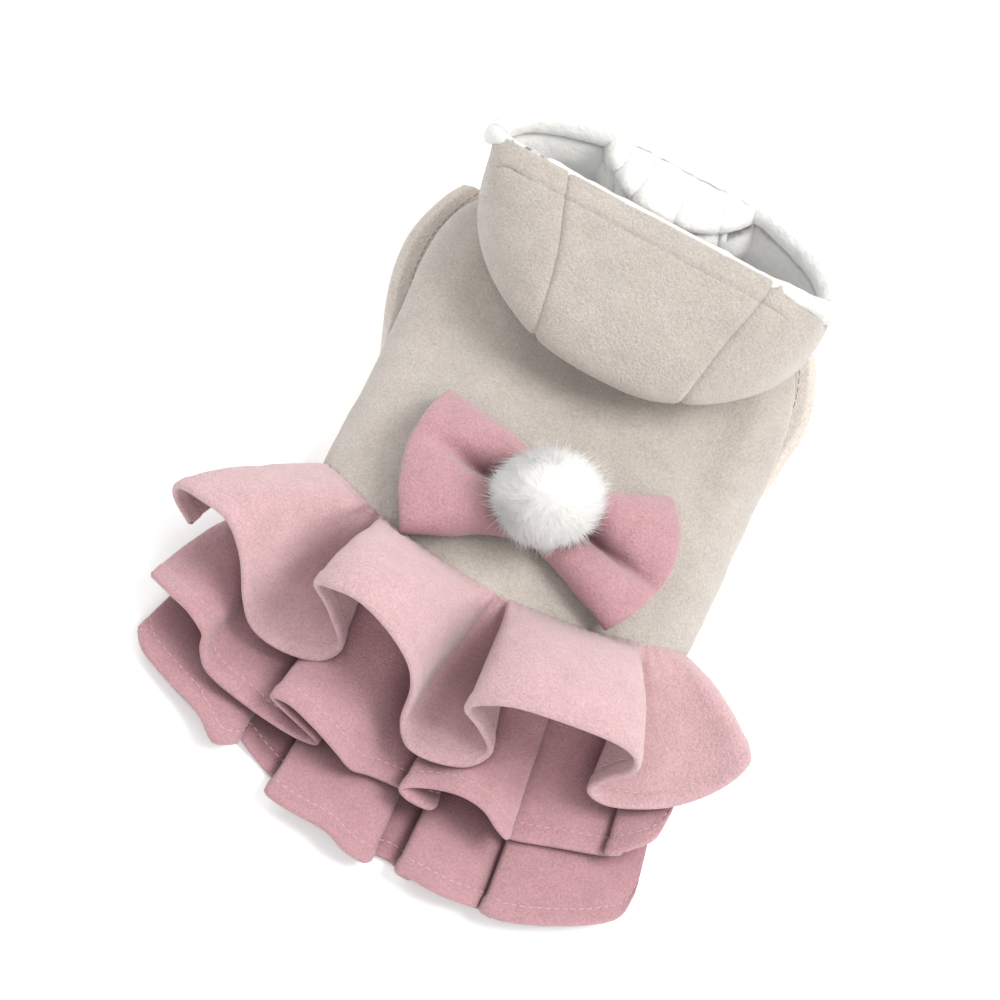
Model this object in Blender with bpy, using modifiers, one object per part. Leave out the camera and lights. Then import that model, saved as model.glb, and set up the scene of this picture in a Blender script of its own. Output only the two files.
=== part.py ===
"""Dog dress: a hooded bodice with a three-tier ruffle skirt, a bow and a fur pompom, lying belly down."""

import math

import bmesh
import bpy
from mathutils import Vector

# Main sizes, in metres
BACK_LENGTH = 0.250
BODICE_HALF = 0.075
SHOULDER_HALF = 0.058
WAIST_HEIGHT = 0.040
MIDDLE_HEIGHT = 0.042
CHEST_HEIGHT = 0.0435
NECK_HEIGHT = 0.033
SEAM_HEIGHT = 0.015
SHOULDER_HEIGHT = 0.021
HOOD_HEIGHT = 0.095
HOOD_HALF = 0.068
WOOL = 0.0016
FLEECE = 0.0015
CLEAR = 0.0003
SIDE_GAP = 0.0014
LAYER_GAP = 0.0009

# Where the bodice starts and ends along the body
WAIST_MIDDLE = -0.034
WAIST_SIDE = -0.012
NECK_LINE = 0.1185
NECK_SLANT = 0.003
BELLY_EDGE = -0.010

# Armholes: start and end along each side, how far the belly panel's edge reaches out, how far the back's edge lifts
LEFT_ARMHOLE = (0.043, 0.109)
RIGHT_ARMHOLE = (0.058, 0.124)
LEFT_STRAP = 0.011
RIGHT_STRAP = 0.005
BACK_LIFT = 0.010
STRAP_DROP = 0.008

# Camera tilt at which the hem tables were read, and their unit
VIEW_TILT = math.radians(65)
PER_MILLE = BACK_LENGTH / 1000

# The skirt: cloth of each tier hangs from its own arch, one under the other
TIER_STEP = (0.0, WOOL + 2 * CLEAR, 2 * WOOL + 6 * CLEAR)
TIER_FALL = (0.55, 0.62, 0.80)
# How much of a hem's height over its valleys comes only near the hem, and the valleys' height
TIER_FLARE = (0.0, 0.45, 0.5)
TIER_BASE = (0.0, 0.0135, 0.002)
# A hem this low is a valley and one this high a crest, in thousandths of the back length
TIER_VALLEY = (100, 52, 6)
TIER_CREST = (200, 95, 40)
VALLEY_FALL = (0.18, 0.0, 0.0)
SEAM_GAP = WOOL / 2 + 2 * CLEAR

# Bow and pompom
BOW_CENTRE = (0.004, -0.006)
BOW_HALF = 0.0525
BOW_HALF_HEIGHT = 0.030
BOW_PINCH = 0.36
BOW_SPREAD = 0.22
BOW_BASE = 0.0437
BOW_PAD = 0.010
BOW_TILT = 0.006
BOW_CLOTH = 0.0032
POMPOM_RADIUS = 0.0212
POMPOM_CENTRE = (0.0044, -0.0040, 0.0645)
POMPOM_SEAT = 0.0163
LOCK_DEPTH = 0.0011

# Bodice sections: y, centre, half width, top height, side seam height
BODICE = (
    (WAIST_MIDDLE, 0.0020, BODICE_HALF, WAIST_HEIGHT, SEAM_HEIGHT),
    (0.010, 0.0015, BODICE_HALF, MIDDLE_HEIGHT, SEAM_HEIGHT),
    (0.050, 0.0, BODICE_HALF, MIDDLE_HEIGHT, SEAM_HEIGHT),
    (0.080, -0.0025, BODICE_HALF, CHEST_HEIGHT, 0.017),
    (0.103, -0.0045, 0.070, 0.0395, 0.020),
    (0.126, -0.0050, SHOULDER_HALF, NECK_HEIGHT, SHOULDER_HEIGHT),
)

# Soft hollows pressed into the back: x, y, reach along x, reach along y, depth
HOLLOWS = (
    (0.046, 0.070, 0.012, 0.040, 0.0030),
    (-0.052, 0.050, 0.014, 0.045, 0.0025),
    (-0.010, 0.058, 0.030, 0.012, 0.0015),
)

# Hood loops from the neck seam to the rim: half width, centre, y at the sides, y at the back, y at the throat,
# z at the sides, z at the back, z at the throat, squareness, slant
HOOD = (
    (0.0600, -0.0050, 0.1210, 0.1205, 0.1210, 0.0250, 0.0420, 0.0024, 2.0, 0.003),
    (0.0650, -0.0050, 0.1225, 0.1120, 0.1290, 0.0345, 0.0485, 0.0110, 2.0, 0.001),
    (0.0675, -0.0040, 0.1190, 0.0800, 0.1335, 0.0465, 0.0520, 0.0260, 2.0, 0.0),
    (0.0660, -0.0025, 0.1060, 0.0510, 0.1335, 0.0580, 0.0600, 0.0420, 2.0, 0.0),
    (0.0665, -0.0025, 0.1030, 0.0570, 0.1335, 0.0680, 0.0730, 0.0540, 2.2, 0.0),
    (0.0665, -0.0030, 0.1020, 0.0740, 0.1320, 0.0770, 0.0840, 0.0650, 2.6, 0.0),
    (0.0665, -0.0040, 0.1030, 0.0880, 0.1330, 0.0840, 0.0915, 0.0730, 3.2, 0.0),
    (HOOD_HALF, -0.0050, 0.1040, 0.0980, 0.1345, 0.0885, HOOD_HEIGHT, 0.0800, 3.5, 0.0),
)
THROAT_SQUARE = 2.1
LEFT_SEAM = -0.46
RIGHT_SEAM = 0.58
# The fleece turned in at the rim: share of the rim's width, drop
RIM_ROLL = ((0.960, -0.0014), (0.915, 0.0006), (0.890, 0.0050))
BUNCH_HALF = 0.33
BUNCH_CENTRE = -0.08
BUNCH_DEPTH = 0.0090
BUNCH_FOLDS = 3.5

# Hem of each tier from left to right, in thousandths of the back length: place along the waist seam (share),
# across, up the tilted view, height
TIER_1 = (
    (-1.00, -416, -176, 106),
    (-0.97, -450, -154, 128),
    (-0.92, -452, -136, 166),
    (-0.86, -412, -136, 194),
    (-0.80, -364, -144, 200),
    (-0.73, -324, -182, 170),
    (-0.69, -294, -234, 128),
    (-0.67, -264, -264, 104),
    (-0.655, -214, -272, 98),
    (-0.64, -162, -260, 104),
    (-0.63, -144, -228, 126),
    (-0.62, -178, -190, 174),
    (-0.60, -212, -164, 236),
    (-0.54, -192, -155, 276),
    (-0.40, -148, -152, 292),
    (-0.23, -96, -168, 282),
    (-0.08, -50, -196, 238),
    (0.00, -24, -232, 176),
    (0.03, -16, -280, 124),
    (0.045, 8, -307, 110),
    (0.06, 52, -308, 108),
    (0.075, 96, -292, 112),
    (0.085, 112, -260, 130),
    (0.095, 86, -236, 168),
    (0.115, 56, -220, 216),
    (0.17, 68, -202, 254),
    (0.30, 114, -180, 282),
    (0.45, 180, -168, 290),
    (0.60, 248, -160, 286),
    (0.69, 290, -165, 262),
    (0.73, 302, -186, 212),
    (0.75, 278, -216, 152),
    (0.765, 264, -244, 118),
    (0.78, 296, -250, 102),
    (0.80, 346, -230, 102),
    (0.84, 390, -200, 110),
    (0.89, 424, -160, 130),
    (0.93, 446, -114, 152),
    (0.97, 440, -94, 132),
    (1.00, 424, -86, 100),
)
TIER_2 = (
    (-1.00, -428, -268, 66),
    (-0.93, -392, -276, 92),
    (-0.86, -356, -284, 104),
    (-0.80, -322, -304, 94),
    (-0.76, -314, -328, 72),
    (-0.73, -292, -350, 58),
    (-0.69, -232, -364, 53),
    (-0.64, -150, -372, 52),
    (-0.59, -108, -366, 57),
    (-0.55, -144, -352, 70),
    (-0.51, -192, -337, 92),
    (-0.44, -166, -332, 108),
    (-0.30, -120, -344, 106),
    (-0.17, -76, -362, 88),
    (-0.10, -48, -374, 68),
    (-0.05, -20, -370, 56),
    (0.00, 36, -365, 52),
    (0.04, 80, -362, 54),
    (0.08, 76, -373, 61),
    (0.11, 44, -374, 72),
    (0.14, 28, -364, 84),
    (0.20, 58, -346, 92),
    (0.27, 104, -332, 114),
    (0.34, 142, -334, 114),
    (0.40, 172, -350, 100),
    (0.45, 190, -358, 84),
    (0.49, 176, -352, 60),
    (0.53, 200, -356, 52),
    (0.62, 264, -336, 52),
    (0.72, 322, -318, 52),
    (0.78, 346, -306, 56),
    (0.82, 330, -312, 70),
    (0.87, 356, -290, 84),
    (0.93, 382, -256, 88),
    (1.00, 380, -206, 76),
)
TIER_3 = (
    (-1.00, -410, -346, 22),
    (-0.90, -388, -368, 24),
    (-0.80, -330, -390, 28),
    (-0.72, -276, -408, 36),
    (-0.67, -240, -432, 40),
    (-0.63, -216, -424, 32),
    (-0.60, -212, -412, 16),
    (-0.56, -184, -424, 7),
    (-0.50, -146, -438, 6),
    (-0.46, -112, -446, 8),
    (-0.43, -118, -452, 22),
    (-0.40, -138, -460, 36),
    (-0.34, -108, -464, 42),
    (-0.20, -42, -466, 44),
    (-0.10, -4, -478, 42),
    (-0.05, 32, -480, 32),
    (-0.02, 34, -468, 14),
    (0.03, 60, -466, 6),
    (0.08, 94, -474, 7),
    (0.11, 96, -474, 20),
    (0.13, 78, -472, 34),
    (0.18, 104, -470, 44),
    (0.26, 146, -470, 44),
    (0.34, 186, -466, 36),
    (0.39, 208, -464, 22),
    (0.43, 228, -466, 18),
    (0.46, 222, -466, 28),
    (0.49, 210, -464, 40),
    (0.56, 240, -462, 44),
    (0.67, 296, -440, 42),
    (0.80, 352, -412, 36),
    (0.92, 388, -384, 26),
    (1.00, 394, -350, 22),
)


def spline(rows, t):
    """The row at place t (0 to 1) of a table, on a smooth curve through its rows."""
    last = len(rows) - 1
    at = min(max(t, 0.0), 1.0) * last
    i = min(int(at), last - 1)
    f = at - i
    a, b = rows[max(i - 1, 0)], rows[i]
    c, d = rows[i + 1], rows[min(i + 2, last)]
    result = []
    for k in range(len(b)):
        slope_b = (c[k] - a[k]) / 2
        slope_c = (d[k] - b[k]) / 2
        h = f * f * (3 - 2 * f)
        start = f * (1 - f) * (1 - f)
        end = f * f * (1 - f)
        result.append(b[k] + (c[k] - b[k]) * h + slope_b * start - slope_c * end)
    return result


def at_length(rows, y):
    """The bodice section at the length y."""
    y = min(max(y, rows[0][0]), rows[-1][0])
    low, high = 0.0, 1.0
    for _ in range(30):
        middle = (low + high) / 2
        if spline(rows, middle)[0] < y:
            low = middle
        else:
            high = middle
    return spline(rows, (low + high) / 2)


def power(value, squareness):
    """A sine or cosine, squared off as a superellipse."""
    return math.copysign(abs(value) ** (2 / squareness), value)


def bump(at, start, end):
    """A smooth rise and fall between start and end."""
    share = (at - start) / (end - start)
    if not 0 < share < 1:
        return 0.0
    return math.sin(math.pi * share) ** 0.7


def ease(value, low, high):
    """0 below low, 1 above high, smooth between."""
    share = min(max((value - low) / (high - low), 0.0), 1.0)
    return share * share * (3 - 2 * share)


def waist_y(share):
    """The waist seam's y: furthest down at the middle of the back."""
    return WAIST_MIDDLE + (WAIST_SIDE - WAIST_MIDDLE) * abs(share) ** 2.2


def hollow(x, y):
    """Depth of the soft hollows at a point of the back."""
    depth = 0.0
    for hx, hy, rx, ry, deep in HOLLOWS:
        depth += deep * math.exp(-(((x - hx) / rx) ** 2) - ((y - hy) / ry) ** 2)
    return depth


def armhole(y, side):
    """How open the armhole is at the length y, and how far its strap reaches out."""
    start, end = LEFT_ARMHOLE if side < 0 else RIGHT_ARMHOLE
    reach = LEFT_STRAP if side < 0 else RIGHT_STRAP
    return bump(y, start, end), reach


def back_point(t, y):
    """A point of the back's outer face: t runs from the left edge (-1) to the right edge (1)."""
    _, centre, half, top, seam = at_length(BODICE, y)
    angle = t * math.pi / 2
    opened, _ = armhole(y, t)
    edge = seam + SIDE_GAP / 2 + BACK_LIFT * opened * min(abs(t) * 3, 1.0)
    x = centre + half * power(math.sin(angle), 2.3)
    z = edge + (top - edge) * power(math.cos(angle), 2.3)
    return Vector((x, y, z - hollow(x, y)))


def belly_point(t, y):
    """A point of the belly's outer face, flat on the floor but for its rising sides."""
    _, centre, half, _, seam = at_length(BODICE, y)
    angle = t * math.pi / 2
    opened, reach = armhole(y, t)
    wide = half + reach * opened * abs(t)
    rise = seam - SIDE_GAP / 2 - STRAP_DROP * opened
    x = centre + wide * power(math.sin(angle), 4.5)
    z = rise * (1 - power(math.cos(angle), 4.5))
    return Vector((x, y, z))


def hood_point(row, angle):
    """A point of the hood: the angle is 0 at the back, a quarter turn at the right, half a turn at the throat."""
    half, centre, y_side, y_back, y_throat, z_side, z_back, z_throat, square, slant = row
    if math.cos(angle) < 0:
        square = THROAT_SQUARE
    across = power(math.sin(angle), square)
    along = power(abs(math.cos(angle)), square)
    y_end, z_end = (y_back, z_back) if math.cos(angle) > 0 else (y_throat, z_throat)
    x = centre + half * across
    y = y_side + (y_end - y_side) * along + slant * across
    z = z_side + (z_end - z_side) * along
    return Vector((x, y, z))


def hem_point(row):
    """A hem point, from where it is seen in the tilted view and its height."""
    _, across, up, height = row
    x, z = across * PER_MILLE, height * PER_MILLE
    y = (up * PER_MILLE - z * math.cos(VIEW_TILT)) / math.sin(VIEW_TILT)
    return Vector((x, y, z))


def root_point(share, step):
    """A point of the waist seam, on the arch that lies step under the back panel's edge."""
    y = waist_y(share)
    _, centre, half, top, seam = at_length(BODICE, y)
    half, top, seam = half - step, top - step, seam - step
    across = min(max(share, -1.0), 1.0)
    rise = (1 - abs(across) ** 2.3) ** (1 / 2.3) if abs(across) < 1 else 0.0
    return Vector((centre + half * across, y - SEAM_GAP, seam - WOOL / 2 + (top - seam) * rise))


def tier_point(row, v, tier):
    """A point of a tier: v runs from the waist seam (0) to the hem (1)."""
    root = root_point(row[0], TIER_STEP[tier])
    hem = hem_point(row)
    run = hem - root
    run.z -= TIER_FLARE[tier] * max(hem.z - TIER_BASE[tier], 0.0)
    low = VALLEY_FALL[tier] * (1 - ease(row[3], TIER_VALLEY[tier], TIER_CREST[tier]))
    first = root + Vector((run.x * 0.36, run.y * (0.28 - 0.4 * low), run.z * (TIER_FALL[tier] + low)))
    second = root + Vector((run.x * 0.86, run.y * 0.68, run.z * 1.0))
    if run.z > 0:
        first.z += 0.10 * run.z
        second.z += 0.04 * run.z
    u = 1 - v
    return root * u**3 + first * (3 * u * u * v) + second * (3 * u * v * v) + hem * v**3


def even_steps(points, count):
    """Places (0 to 1) that cut a line of points into even lengths."""
    lengths = [0.0]
    for a, b in zip(points, points[1:]):
        lengths.append(lengths[-1] + (b - a).length)
    places = []
    i = 0
    for k in range(count):
        want = lengths[-1] * k / (count - 1)
        while i < len(lengths) - 2 and lengths[i + 1] < want:
            i += 1
        span = lengths[i + 1] - lengths[i]
        places.append((i + (want - lengths[i]) / span) / (len(points) - 1))
    return places


def cloth(name, grid, material, thickness, offset=0.0, around=False):
    """A named solid: a grid of points made into cloth of one thickness."""
    mesh = bpy.data.meshes.new(name)
    work = bmesh.new()
    rows = [[work.verts.new(point) for point in line] for line in grid]
    for upper, lower in zip(rows, rows[1:]):
        pairs = list(zip(upper, lower))
        if around:
            pairs.append(pairs[0])
        for (a, b), (c, d) in zip(pairs, pairs[1:]):
            work.faces.new((a, b, d, c))
    work.to_mesh(mesh)
    work.free()
    mesh.materials.append(material)
    body = bpy.data.objects.new(name, mesh)
    COLLECTION.objects.link(body)
    thick = body.modifiers.new("Cloth", "SOLIDIFY")
    thick.thickness = thickness
    thick.offset = offset
    thick.use_even_offset = False
    for face in mesh.polygons:
        face.use_smooth = True
    return body


def fabric(name, colour, roughness):
    """A plain cloth material."""
    material = bpy.data.materials.new(name)
    material.use_nodes = True
    shader = material.node_tree.nodes["Principled BSDF"]
    shader.inputs["Base Color"].default_value = (*colour, 1.0)
    shader.inputs["Roughness"].default_value = roughness
    shader.inputs["Metallic"].default_value = 0.0
    return material


def build_bodice():
    """The back panel and the belly panel, a wool layer each."""
    wool = fabric("beige wool, back", (0.56, 0.51, 0.45), 0.9)
    under = fabric("beige wool, belly", (0.53, 0.48, 0.42), 0.9)
    grid = []
    for i in range(14):
        line = []
        for j in range(20):
            t = 1 - 2 * j / 19
            start = waist_y(power(math.sin(t * math.pi / 2), 2.3))
            end = NECK_LINE + NECK_SLANT * power(math.sin(t * math.pi / 2), 2.3)
            line.append(back_point(t, start + (end - start) * i / 13))
        grid.append(line)
    cloth("back_panel", grid, wool, WOOL, -1.0)
    grid = []
    for i in range(11):
        line = []
        for j in range(17):
            t = -1 + 2 * j / 16
            end = NECK_LINE + NECK_SLANT * power(math.sin(t * math.pi / 2), 4.5)
            line.append(belly_point(t, BELLY_EDGE + (end - BELLY_EDGE) * i / 10))
        grid.append(line)
    cloth("belly_panel", grid, under, WOOL, -1.0)


def seam_angle(share):
    """The hood angle where a seam crosses a row, from its share of the half width."""
    return math.asin(math.copysign(min(abs(share), 1.0) ** 1.3, share))


def build_hood():
    """The three wool panels and the fleece inside them, two layers on one surface."""
    wool = [fabric("beige wool, hood " + side, (0.55, 0.51, 0.45), 0.9) for side in ("left", "centre", "right")]
    fleece = fabric("white fleece", (0.86, 0.87, 0.84), 0.95)
    outer = -(1 + LAYER_GAP / WOOL)
    inner = 1 + LAYER_GAP / FLEECE
    gap = 0.5 * CLEAR / HOOD_HALF
    left, right = seam_angle(LEFT_SEAM), seam_angle(RIGHT_SEAM)
    throat = 2 * math.pi * BUNCH_CENTRE * 0.1
    spans = (
        ("hood_panel_left", -math.pi + throat + gap, left - gap, 17, 0),
        ("hood_panel_centre", left + gap, right - gap, 11, 1),
        ("hood_panel_right", right + gap, math.pi + throat - gap, 16, 2),
    )
    for name, start, end, columns, slot in spans:
        grid = []
        for i in range(11):
            row = spline(HOOD, i / 10)
            angles = [start + (end - start) * j / (columns - 1) for j in range(columns)]
            grid.append([hood_point(row, angle) for angle in angles])
        cloth(name, grid, wool[slot], WOOL, outer)
    grid = []
    columns = 38
    rows = [(spline(HOOD, i / 10), i / 10) for i in range(11)]
    rim = HOOD[-1]
    for share, drop in RIM_ROLL:
        turned = list(rim)
        turned[0] = rim[0] * share
        inward = rim[0] * (1 - share)
        turned[3] = rim[3] + inward
        turned[4] = rim[4] - inward
        for k in (5, 6, 7):
            turned[k] = rim[k] - drop
        rows.append((turned, 1.0))
    for row, up in rows:
        line = []
        for j in range(columns):
            angle = 2 * math.pi * (j + 0.5) / columns
            point = hood_point(row, angle)
            if math.cos(angle) < 0:
                share = (math.sin(angle) - BUNCH_CENTRE) / BUNCH_HALF
                if abs(share) < 1:
                    swell = math.cos(share * math.pi / 2) ** 2
                    fold = 0.75 + 0.25 * math.cos(share * math.pi * BUNCH_FOLDS)
                    point.y -= BUNCH_DEPTH * swell * fold * ease(up, 0.45, 0.8)
            line.append(point)
        grid.append(line)
    cloth("hood_lining", grid, fleece, FLEECE, inner, around=True)


def build_skirt():
    """The three ruffle tiers, each one sheet of wool from its arch to its folded hem."""
    colours = ((0.72, 0.47, 0.50), (0.66, 0.41, 0.45), (0.62, 0.38, 0.42))
    plans = ((TIER_1, 64, 7), (TIER_2, 54, 7), (TIER_3, 42, 7))
    for tier, (table, columns, lines) in enumerate(plans):
        pink = fabric("pink wool, tier " + str(tier + 1), colours[tier], 0.9)
        fine = 400
        hem = [hem_point(spline(table, k / fine)) for k in range(fine + 1)]
        places = even_steps(hem, columns)
        grid = []
        for i in range(lines):
            v = i / (lines - 1)
            grid.append([tier_point(spline(table, place), v, tier) for place in places])
        cloth("skirt_tier_" + str(tier + 1), grid, pink, WOOL)


def bow_point(u, v):
    """A point of the bow: u runs across it, v up it, both from -1 to 1."""
    side = abs(u)
    pinch = max(BOW_PINCH, BOW_SPREAD + (1 - BOW_SPREAD) * side)
    height = BOW_HALF_HEIGHT * pinch
    lean = 0.10 if u < 0 else 0.06
    x = BOW_CENTRE[0] + BOW_HALF * u * (1 - 0.04 * abs(v) ** 5 - (lean * ease(-v, 0.0, 1.0)))
    y = BOW_CENTRE[1] + height * v + 0.003 * ease(side, 0.4, 1.0)
    two = math.sin(math.pi * min(abs(v), 1.0)) ** 0.7
    one = math.cos(v * math.pi / 2) ** 0.5 if abs(v) < 1 else 0.0
    blend = ease(side, 0.50, 0.95)
    pad = BOW_PAD * (0.20 + 0.80 * ease(side, 0.20, 0.60)) * (1 - 0.40 * ease(side, 0.80, 1.0))
    z = BOW_BASE + pad * (two * (1 - blend) + one * blend * 0.9)
    z += BOW_TILT * ease(-v, 0.1, 1.0) * ease(side, 0.2, 0.7)
    return Vector((x, y, z))


def build_bow():
    """The pinched band, two layers of wool thick, and the pompom seated on its middle."""
    pink = fabric("pink wool, bow", (0.68, 0.42, 0.46), 0.9)
    fur = fabric("white fur", (0.90, 0.90, 0.88), 0.95)
    grid = [[bow_point(-1 + 2 * i / 20, -1 + 2 * j / 10) for j in range(11)] for i in range(21)]
    cloth("bow", grid, pink, BOW_CLOTH)
    mesh = bpy.data.meshes.new("pompom")
    work = bmesh.new()
    bmesh.ops.create_uvsphere(work, u_segments=26, v_segments=14, radius=1.0)
    for vert in work.verts:
        way = vert.co.normalized()
        lock = math.sin(7 * way.x + 3 * way.z) * math.sin(6 * way.y - 2 * way.x) * math.sin(8 * way.z + way.y)
        radius = POMPOM_RADIUS + LOCK_DEPTH * lock
        spot = way * radius
        spot.z = max(spot.z, -POMPOM_SEAT)
        vert.co = Vector(POMPOM_CENTRE) + spot
    bmesh.ops.dissolve_degenerate(work, edges=work.edges, dist=0.00005)
    work.to_mesh(mesh)
    work.free()
    mesh.materials.append(fur)
    for face in mesh.polygons:
        face.use_smooth = True
    COLLECTION.objects.link(bpy.data.objects.new("pompom", mesh))


def settle():
    """Moves every piece so that the whole dress stands over the origin with its lowest point on the floor."""
    bpy.context.view_layer.update()
    graph = bpy.context.evaluated_depsgraph_get()
    points = []
    for body in COLLECTION.objects:
        shape = body.evaluated_get(graph)
        points += [vert.co.copy() for vert in shape.data.vertices]
    low = [min(point[k] for point in points) for k in range(3)]
    high = [max(point[k] for point in points) for k in range(3)]
    shift = Vector((-(low[0] + high[0]) / 2, -(low[1] + high[1]) / 2, -low[2]))
    for body in COLLECTION.objects:
        for vert in body.data.vertices:
            vert.co += shift


for old in list(bpy.data.objects):
    bpy.data.objects.remove(old)
COLLECTION = bpy.data.collections.new("dog_dress")
bpy.context.scene.collection.children.link(COLLECTION)
build_bodice()
build_hood()
build_skirt()
build_bow()
settle()
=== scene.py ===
"""Dog dress: hooded wool bodice, three-tier ruffle skirt, bow and fur pompom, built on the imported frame."""

import math
import random

import bmesh
import bpy
from mathutils import Matrix, Vector, noise


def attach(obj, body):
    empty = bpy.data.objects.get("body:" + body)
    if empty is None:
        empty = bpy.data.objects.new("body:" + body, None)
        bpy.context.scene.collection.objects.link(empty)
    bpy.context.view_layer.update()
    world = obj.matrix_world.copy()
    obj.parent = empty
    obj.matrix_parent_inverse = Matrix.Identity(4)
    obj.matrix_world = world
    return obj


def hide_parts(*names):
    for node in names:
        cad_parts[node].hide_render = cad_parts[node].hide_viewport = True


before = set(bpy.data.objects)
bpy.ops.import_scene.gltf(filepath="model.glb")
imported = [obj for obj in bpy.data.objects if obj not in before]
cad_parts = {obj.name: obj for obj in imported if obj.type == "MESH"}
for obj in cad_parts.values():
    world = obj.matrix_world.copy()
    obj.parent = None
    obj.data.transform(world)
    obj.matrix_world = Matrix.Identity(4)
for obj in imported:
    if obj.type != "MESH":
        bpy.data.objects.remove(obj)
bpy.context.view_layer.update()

bl_info = {
    "name": "Dog dress",
    "version": (1, 0, 0),
    "blender": (4, 5, 0),
    "location": "View3D > Sidebar > Dog dress",
    "description": "Builds a hooded dog dress with ruffles, a bow and a pompom",
    "category": "Add Mesh",
}

# Where the cloth lies. The lengths repeat the part's own, in metres
BACK_LENGTH = 0.250
PER_MILLE = BACK_LENGTH / 1000
VIEW_TILT = math.radians(65)
WOOL = 0.0016
WAIST_MIDDLE = -0.034
WAIST_SIDE = -0.012
NECK_LINE = 0.1185
NECK_SLANT = 0.003
BELLY_EDGE = -0.010
SIDE_GAP = 0.0014
LEFT_ARMHOLE = (0.043, 0.109)
RIGHT_ARMHOLE = (0.058, 0.124)
BACK_LIFT = 0.010
STRAP_DROP = 0.008
TIER_STEP = (0.0, 0.0022, 0.0050)
TIER_FALL = (0.55, 0.62, 0.80)
TIER_FLARE = (0.0, 0.45, 0.5)
TIER_BASE = (0.0, 0.0135, 0.002)
# A hem this low is a valley and one this high a crest, in thousandths of the back length
TIER_VALLEY = (100, 52, 6)
TIER_CREST = (200, 95, 40)
VALLEY_FALL = (0.18, 0.0, 0.0)
SEAM_GAP = 0.0014

# How far each strap reaches out past the bodice's side, the right one further than the part's: y, reach
LEFT_STRAP = (
    (0.040, 0.0),
    (0.050, 0.0030),
    (0.063, 0.0064),
    (0.080, 0.0092),
    (0.092, 0.0102),
    (0.105, 0.0096),
    (0.1225, 0.0088),
)
RIGHT_STRAP = (
    (0.058, 0.0),
    (0.0707, 0.0035),
    (0.082, 0.0062),
    (0.0935, 0.0104),
    (0.106, 0.0134),
    (0.118, 0.0146),
    (0.1225, 0.0140),
)

# The bow's edges from left to right, a little taller than the part's: upper x, upper y, lower x, lower y
BOW_EDGES = (
    (-0.0451, 0.0258, -0.0361, -0.0363),
    (-0.0270, 0.0222, -0.0215, -0.0292),
    (-0.0091, 0.0186, -0.0072, -0.0199),
    (0.0050, 0.0150, 0.0040, -0.0150),
    (0.0200, 0.0172, 0.0145, -0.0182),
    (0.0335, 0.0232, 0.0300, -0.0258),
    (0.0445, 0.0297, 0.0450, -0.0318),
)
# How far the left and the right end bulge out between their corners
BOW_BULGE = (0.0090, 0.0122)
BOW_CREASE = 0.0118
BOW_BASE = 0.0437
BOW_PAD = 0.0112
POMPOM_RADIUS = 0.0212
POMPOM_CENTRE = (0.0044, -0.0040, 0.0645)
POMPOM_SEAT = 0.0163
# The fur's ball is a little smaller than the part's, and flattened along this way
POMPOM_SCALE = 0.94
POMPOM_SQUASH = 0.12
POMPOM_FLAT = Vector((-0.47, 0.80, 0.37)).normalized()

# How far the part's source moves the dress to stand it over the origin
SETTLED = Vector((0.00151, 0.00029, 0.0))

# The camera stands where the photo was taken from: turned this far, this far off, and aimed at this point
PHOTO_TURN = math.radians(28)
CAMERA_AWAY = 1.5
CAMERA_AIM = Vector((-0.0086, -0.0021, 0.040))

# Soft studio light: name, place, side length in metres, watts, colour
WORLD_LIGHT = 0.62
LIGHTS = (
    ("key", (1.15, 0.35, 2.1), 1.1, 42.0, (1.0, 0.99, 0.975)),
    ("front", (0.5, -1.7, 1.9), 1.2, 12.0, (1.0, 0.99, 0.98)),
    ("back", (-1.2, 1.1, 1.5), 1.2, 12.0, (0.99, 0.995, 1.0)),
)

# Painted shade: shares of the pink's red, green and blue, darker for the lower ruffles that lie in the upper
# ones' shade: top, middle and bottom ruffle
RUFFLE_PAINTED_SHADES = ((0.98, 0.97, 0.98), (0.86, 0.75, 0.79), (0.81, 0.69, 0.73))
# Painted shade: the bow's share of the pink, darkened to stand in for the shade on its loops
BOW_PAINTED_SHADE = (0.80, 0.68, 0.72)

# Thickness of the dressed cloths. The hood's wool lies outside its surface, and its fleece inside
SHEET = 0.0018
HOOD_WOOL = (-0.0004, 0.0022)
HOOD_FLEECE = (0.0023, -0.0004)
HALF_RUFFLE = 0.0013

# Width of the hems
SKIRT_HEM = 0.0052
RIM_HEM = 0.0078
STRAP_HEM = 0.0075
# Painted light: how much lighter the belly's wool is than the back's, so the armhole straps look lit in the
# bodice's shade
STRAP_PAINTED_LIGHT = 1.4
# Rings of one stitch: place along it, share of the thread's radius, height in radii
STITCH_RINGS = (
    (0.0, 0.45, -0.6),
    (0.18, 0.95, 0.35),
    (0.5, 1.0, 0.6),
    (0.82, 0.95, 0.35),
    (1.0, 0.45, -0.6),
)

# Bodice sections: y, centre, half width, top height, side seam height
BODICE = (
    (-0.034, 0.0020, 0.075, 0.0400, 0.015),
    (0.010, 0.0015, 0.075, 0.0420, 0.015),
    (0.050, 0.0, 0.075, 0.0420, 0.015),
    (0.080, -0.0025, 0.075, 0.0435, 0.017),
    (0.103, -0.0045, 0.070, 0.0395, 0.020),
    (0.126, -0.0050, 0.058, 0.0330, 0.021),
)

# Soft hollows and swells of the back: x, y, reach along x, reach along y, depth, turn in degrees
HOLLOWS = (
    (0.046, 0.070, 0.010, 0.040, 0.0030, 6),
    (0.062, 0.060, 0.006, 0.045, -0.0012, 8),
    (-0.052, 0.050, 0.012, 0.045, 0.0025, -8),
    (-0.066, 0.030, 0.007, 0.050, -0.0010, -4),
    (-0.010, 0.058, 0.030, 0.012, 0.0015, 12),
    (0.020, 0.030, 0.010, 0.030, 0.0010, -20),
    (-0.060, -0.002, 0.020, 0.010, 0.0012, 20),
    (0.058, 0.002, 0.016, 0.012, 0.0012, -25),
)

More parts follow.
